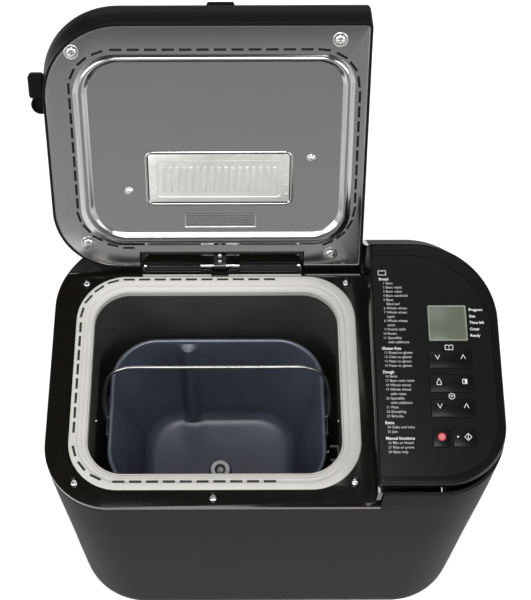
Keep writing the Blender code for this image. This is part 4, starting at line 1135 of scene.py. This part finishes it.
def make_panel():
    levels = (
        (0.0, -BEZEL_DEEP), (0.0, -0.0030), (-0.0002, -0.0016), (-0.0007, -0.0007), (-0.0016, -0.0002),
        (-0.0026, 0.0), (-0.0030, 0.0)
    )
    bezel = loft([[(x, y, z) for x, y in panel_outline(BEZEL, by)] for by, z in levels])
    boolean(bezel, slab(panel_outline(BEZEL, -0.0040), -0.02, -0.0042))
    boolean(bezel, slab(panel_outline(FILM, 0.00035), -0.0012, 0.01))
    film = bevelled(slab(panel_outline(FILM, 0.0), -0.0009, 0.00005), 0.00025, 2)
    for name, (left, right, front, rear) in dict(KEYS, display=DISPLAY).items():
        for target in (bezel, film):
            hole = slab(
                rounded(left - 0.0003, right + 0.0003, front - 0.0003, rear + 0.0003, (0.0014,) * 4, 5),
                -0.02, 0.01
            )
            boolean(target, hole)
    place(bezel, "panel_bezel_skin", "housing", BEZEL_BLACK, PANEL, ["panel_bezel"], 28)
    place(film, "panel_film_skin", "housing", FILM_BLACK, PANEL, ["panel_film"], 8)
    for name, (left, right, front, rear) in KEYS.items():
        key = slab(rounded(left, right, front, rear, (0.0012,) * 4, 6), -0.0045, 0.00055)
        place(bevelled(key, 0.0004, 3), f"{name}_plate", f"{name}_cap", KEY_BLACK, PANEL, [name])
    left, right, front, rear = DISPLAY
    glass = bevelled(slab(rounded(left, right, front, rear, (0.0015,) * 4, 6), -0.0050, -0.0001), 0.0004, 3)
    place(glass, "display_window", "housing", LCD, PANEL, ["display"])
    rim = hoop([
        (rounded(left + i, right - i, front + i, rear - i, (0.0013,) * 4, 6), z)
        for i, z in ((0.0004, -0.0001), (0.0006, 0.00005), (0.0013, 0.00005), (0.0016, -0.0001))
    ])
    place(rim, "display_border", "housing", LCD_EDGE, PANEL)


LIST_X = 0.0975
LIST_ROWS = (
    ("Bread", None), (1, "Basic"), (2, "Basic rapid"), (3, "Basic raisin"), (4, "Basic sandwich"),
    (5, "Basic"), (None, "filled loaf"), (6, "Whole wheat"), (7, "Whole wheat"), (None, "rapid"),
    (8, "Whole wheat"), (None, "raisin"), (9, "French style"), (10, "Rustic"), (11, "Speciality"),
    (None, "with additions"), ("gap", None), ("Gluten free", None), (12, "Bread no gluten"),
    (13, "Cake no gluten"), (14, "Pizza no gluten"), (15, "Pasta no gluten"), ("gap", None),
    ("Dough", None), (16, "Basic"), (17, "Basic with raisin"), (18, "Whole wheat"), (19, "Whole wheat"),
    (None, "with raisin"), (20, "Speciality"), (None, "with additions"), (21, "Pizza"), (22, "Dumpling"),
    (23, "Brioche"), ("gap", None), ("Extra", None), (24, "Cake and bake"), (25, "Jam"), ("gap", None),
    ("Manual functions", None), (26, "Mix or knead"), (27, "Rise or prove"), (28, "Bake only"),
)


def text(words, x, y, size, bold=0.0, align="LEFT"):
    """Words as a flat mesh in the panel's plane."""
    curve = bpy.data.curves.new("text", "FONT")
    curve.body = words
    curve.size = size
    curve.align_x = align
    curve.offset = bold
    curve.resolution_u = 2
    curve.extrude = 0.00002
    made = meshed(curve)
    made.data.transform(Matrix.Translation((x, y, 0.0)))
    return made


def stroke(points, width, closed=False, z=0.0):
    """A flat line of even width through the points, with mitred corners, as a thin solid."""
    pts = [Vector((x, y)) for x, y in points]
    n = len(pts)
    inner, outer = [], []
    for i, p in enumerate(pts):
        before = pts[(i - 1) % n] if closed or i else None
        after = pts[(i + 1) % n] if closed or i < n - 1 else None
        a = (p - before).normalized() if before is not None else (after - p).normalized()
        b = (after - p).normalized() if after is not None else a
        across = Vector((-a.y - b.y, a.x + b.x)).normalized()
        reach = width / 2 / max(across.dot(Vector((-a.y, a.x))), 0.35)
        inner.append(p + across * reach)
        outer.append(p - across * reach)
    bm = bmesh.new()
    rows = [
        [bm.verts.new((q.x, q.y, h)) for q in side]
        for side, h in ((inner, z), (outer, z), (outer, z + 0.00004), (inner, z + 0.00004))
    ]
    for k in range(4):
        for i in range(n if closed else n - 1):
            j = (i + 1) % n
            bm.faces.new((rows[k][i], rows[k][j], rows[(k + 1) % 4][j], rows[(k + 1) % 4][i]))
    if not closed:
        for i in (0, n - 1):
            bm.faces.new([rows[k][i] for k in range(4)])
    return from_bmesh("stroke", bm)


def make_print():
    """Printed legends on the film: the numbered list, the display's labels and the pictograms."""
    y = 0.0705
    rows, heads = [], []
    pitch = 0.00402
    for number, words in LIST_ROWS:
        if number == "gap":
            y -= pitch * 0.45
            continue
        if words is None:
            heads.append(text(number, LIST_X + 0.0003, y - 0.0002, 0.0037, 0.00007))
        else:
            if number is not None:
                rows.append(text(str(number), LIST_X + 0.0052, y, 0.0031, 0.0, "RIGHT"))
            rows.append(text(words, LIST_X + 0.0062, y, 0.0033, 0.00002))
        y -= pitch
    lift = Matrix.Translation((0.0, 0.0, 0.00010))
    place(merged(rows[0], *rows[1:]), "list_print", "housing", PRINT, PANEL @ lift)
    labels = [text(w, 0.1772, 0.0405 - 0.0061 * i, 0.0036, 0.00007)
              for i, w in enumerate(("Program", "Size", "Time left", "Crust", "Ready"))]
    place(merged(heads[0], *heads[1:], *labels), "heading_print", "housing", PRINT_BRIGHT, PANEL @ lift)
    marks = []

    def book(x, yy, w=0.0034, h=0.0021):
        marks.append(
            stroke(
                [
                    (x - w, yy + h), (x - w * 0.45, yy + h * 1.1), (x, yy + h * 0.75),
                    (x + w * 0.45, yy + h * 1.1), (x + w, yy + h), (x + w, yy - h),
                    (x + w * 0.45, yy - h * 0.9), (x, yy - h * 1.15), (x - w * 0.45, yy - h * 0.9),
                    (x - w, yy - h)
                ],
                0.0005, True
            )
        )

    book(0.1009, 0.0776)
    book(0.1575, 0.0061)
    marks.append(stroke([(0.1575, 0.0076), (0.1575, 0.0038)], 0.0004))
    marks.append(stroke(arc((0.1573, -0.0389), 0.0025, 0, 348, 29), 0.0005, True))
    marks.append(stroke([(0.1562, -0.0378), (0.1571, -0.0394), (0.1585, -0.0380)], 0.0005))
    place(merged(marks[0], *marks[1:]), "film_pictograms", "housing", PRINT_BRIGHT, PANEL @ lift)
    raised = PANEL @ Matrix.Translation((0.0, 0.0, 0.00058))

    def chevron(x, yy, up):
        s = 1 if up else -1
        return stroke(
            [(x - 0.0020, yy - s * 0.0020), (x, yy + s * 0.0020), (x + 0.0020, yy - s * 0.0020)], 0.00048
        )

    place(
        merged(chevron(0.1467, -0.0028, False), chevron(0.1694, -0.0028, True)), "program_key_marks",
        "program_key_cap", PRINT_BRIGHT, raised
    )
    place(
        merged(chevron(0.1463, -0.0477, False), chevron(0.1694, -0.0477, True)), "timer_key_marks",
        "timer_key_cap", PRINT_BRIGHT, raised
    )
    loaf = stroke(
        [
            (0.1450, -0.0284), (0.1448, -0.0262), (0.1458, -0.0250), (0.1458, -0.0240), (0.1467, -0.0228),
            (0.1477, -0.0240), (0.1477, -0.0250), (0.1487, -0.0262), (0.1485, -0.0284)
        ],
        0.0005, True
    )
    shade = stroke([(0.1675, -0.0276), (0.1675, -0.0236), (0.1713, -0.0236), (0.1713, -0.0276)], 0.0005, True)
    half = slab([(0.1694, -0.0276), (0.1713, -0.0276), (0.1713, -0.0236), (0.1694, -0.0236)], 0.0, 0.00004)
    place(merged(loaf, shade, half), "loaf_key_marks", "loaf_key_cap", PRINT_BRIGHT, raised)
    red = slab(arc((0.1464, -0.0754), 0.0035, 0, 351, 39), 0.0, 0.00004)
    place(red, "stop_key_disc", "stop_key_cap", PRINT_RED, raised)
    sign = stroke(arc((0.1464, -0.0754), 0.0018, 0, 345, 23), 0.0004, True, 0.00005)
    merged(sign, stroke([(0.1452, -0.0766), (0.1476, -0.0742)], 0.0004, False, 0.00005))
    place(sign, "stop_key_mark", "stop_key_cap", PRINT, raised)
    x, yy = 0.1691, -0.0755
    start = stroke([(x - 0.0031, yy), (x, yy + 0.0031), (x + 0.0031, yy), (x, yy - 0.0031)], 0.0005, True)
    merged(start, stroke([(x, yy - 0.0020), (x, yy + 0.0020)], 0.0005))
    place(start, "start_key_mark", "start_key_cap", PRINT_BRIGHT, raised)
    lamp = turned(
        (0.1602, -0.0754, 0.0),
        [(0.0, 0.0004), (0.0005, 0.0003), (0.0008, 0.0001), (0.0008, -0.0001), (0.0, -0.0001)], 24
    )
    place(lamp, "start_key_lamp", "start_key_cap", PRINT_BRIGHT, raised)


def dress_cad():
    dress(BODY, "base_tray", bevel=0.0004)
    dress(RUBBER, "foot_front_left", "foot_front_right", "foot_rear_left", "foot_rear_right", bevel=0.0008)
    dress(RUBBER, "drive_belt")
    dress(
        BRIGHT_STEEL, "heater", "sensor_rail", "guide_rail", "hinge_pin", "pan_bush", "drive_shaft",
        "motor_pulley"
    )
    dress(DULL_STEEL, "chassis", "pan_seat", "drive_coupling")
    dress(ALUMINIUM, "dispenser_hopper", "shaft_bearing")
    dress(MOTOR, "motor", "dispenser_solenoid")
    dress(BOARD, "control_board")
    dress(KEY_BLACK, "large_pulley")
    dress(GLOSS, "power_inlet", "hinge_arm", "hinge_cover", "hinge_plate", bevel=0.0003)
    dress(GLOSS_SOFT, "dispenser_cover", bevel=0.0008)


# ---- stage, lights and camera ----
def make_stage():
    bm = bmesh.new()
    bmesh.ops.create_grid(bm, x_segments=1, y_segments=1, size=4.0)
    floor = from_bmesh("floor", bm, False)
    made, tree, shader = new_material("floor_white")
    ramp = tree.nodes.new("ShaderNodeValToRGB")
    for stop, value in zip(ramp.color_ramp.elements, (0.93, 0.95)):
        stop.color = (value, value, value, 1.0)
    tree.links.new(noise(tree, 2.0, 2.0), ramp.inputs["Fac"])
    tree.links.new(ramp.outputs["Color"], shader.inputs["Base Color"])
    shader.inputs["Roughness"].default_value = 0.9
    shader.inputs["Specular IOR Level"].default_value = 0.1
    shader.inputs["Emission Color"].default_value = (1.0, 1.0, 1.0, 1.0)
    shader.inputs["Emission Strength"].default_value = 0.22
    floor.data.materials.append(made)


# height on the sky from -1 below to 1 overhead, as 0 to 1, and its grey
SKY = ((0.0, 0.50), (0.50, 0.52), (0.57, 0.46), (0.70, 0.22), (0.85, 0.09), (1.0, 0.05))


def calculated(tree, operation, *sources):
    made = tree.nodes.new("ShaderNodeMath")
    made.operation = operation
    for socket, source in zip(made.inputs, sources):
        tree.links.new(source, socket)
    return made.outputs["Value"]


def make_world():
    """Soft studio: grey towards the horizon, dark overhead and behind, brighter to the sides."""
    world = bpy.data.worlds.new("studio")
    bpy.context.scene.world = world
    world.use_nodes = True
    tree = world.node_tree
    back = tree.nodes["Background"]
    split = tree.nodes.new("ShaderNodeSeparateXYZ")
    tree.links.new(tree.nodes.new("ShaderNodeTexCoord").outputs["Generated"], split.inputs[0])
    ramp = tree.nodes.new("ShaderNodeValToRGB")
    stops = ramp.color_ramp.elements
    stops[0].position = SKY[0][0]
    stops[1].position = SKY[-1][0]
    for position, _ in SKY[1:-1]:
        stops.new(position)
    for stop, (_, value) in zip(stops, SKY):
        stop.color = (value, value, value * 0.985, 1.0)
    tree.links.new(mapped(tree, split.outputs["Z"], -1.0, 1.0, 0.0, 1.0), ramp.inputs["Fac"])
    behind = mapped(tree, split.outputs["Y"], 0.25, 0.70, 1.0, 0.22)
    beside = mapped(tree, calculated(tree, "ABSOLUTE", split.outputs["X"]), 0.42, 0.62, 1.0, 2.6)
    tree.links.new(ramp.outputs["Color"], back.inputs["Color"])
    tree.links.new(calculated(tree, "MULTIPLY", behind, beside), back.inputs["Strength"])


def area_light(name, position, target, size, power, size_y=None):
    data = bpy.data.lights.new(name, "AREA")
    data.shape = "RECTANGLE"
    data.size = size
    data.size_y = size_y or size
    data.energy = power
    obj = linked(name, data)
    obj.location = position
    aim = Vector(target) - Vector(position)
    obj.rotation_euler = aim.to_track_quat("-Z", "Y").to_euler()
    return obj


def make_lights():
    area_light("key_front_left", (-1.7, -1.3, 2.1), (0.0, 0.0, 0.2), 1.5, 42.0)
    area_light("key_front_right", (1.8, -1.1, 2.0), (0.0, 0.0, 0.2), 1.3, 36.0)
    area_light("top_front", (0.0, -1.1, 2.5), (0.0, 0.0, 0.2), 1.2, 22.0, 0.7)
    area_light("back_strip", (0.0, 2.4, 0.9), (0.0, 0.0, 0.3), 2.6, 18.0, 0.5)
    area_light("well", (-0.05, -0.20, 2.6), (-0.05, -0.08, 0.1), 0.6, 16.0)
    area_light("panel_sheen", (0.46, 0.82, 2.3), (0.15, 0.0, 0.33), 0.45, 1.6)


# pitch down, yaw and roll in degrees; the spot is in the machine's own coordinates
CAMERA_ANGLES = (61.49, -0.02, -0.19)
CAMERA_SPOT = (-0.02300, -0.47520, 1.0601 + DECK_Z)
CAMERA_LENS = 75.304
CAMERA_SHIFT = (0.0337, -0.0282)


def make_camera():
    """Camera high in front of the machine, looking down into the open chamber."""
    pitch, yaw, roll = (math.radians(angle) for angle in CAMERA_ANGLES)
    ahead = Vector((math.sin(yaw) * math.cos(pitch), math.cos(yaw) * math.cos(pitch), -math.sin(pitch)))
    right = Vector((math.cos(yaw), -math.sin(yaw), 0.0))
    up = right.cross(ahead)
    across = math.cos(roll) * right + math.sin(roll) * up
    upward = -math.sin(roll) * right + math.cos(roll) * up
    data = bpy.data.cameras.new("camera")
    data.lens = CAMERA_LENS
    data.sensor_width = 36.0
    data.shift_x, data.shift_y = CAMERA_SHIFT
    data.clip_start = 0.05
    data.clip_end = 50.0
    camera = linked("camera", data)
    spot = MACHINE.translation + Vector(CAMERA_SPOT)
    camera.matrix_world = Matrix((
        (across.x, upward.x, -ahead.x, spot.x), (across.y, upward.y, -ahead.y, spot.y),
        (across.z, upward.z, -ahead.z, spot.z), (0.0, 0.0, 0.0, 1.0),
    ))
    bpy.context.scene.camera = camera


make_body()
make_deck()
make_deck_screws()
make_ring()
make_chamber()
make_hinge_strips()
make_pan()
make_bail()
make_blade()
make_lid_shell()
make_liner()
make_flap()
make_vent()
make_lid_screws()
make_grip()
make_panel()
make_print()
dress_cad()
make_stage()
make_world()
make_lights()
make_camera()
bpy.context.scene.view_settings.view_transform = "Standard"
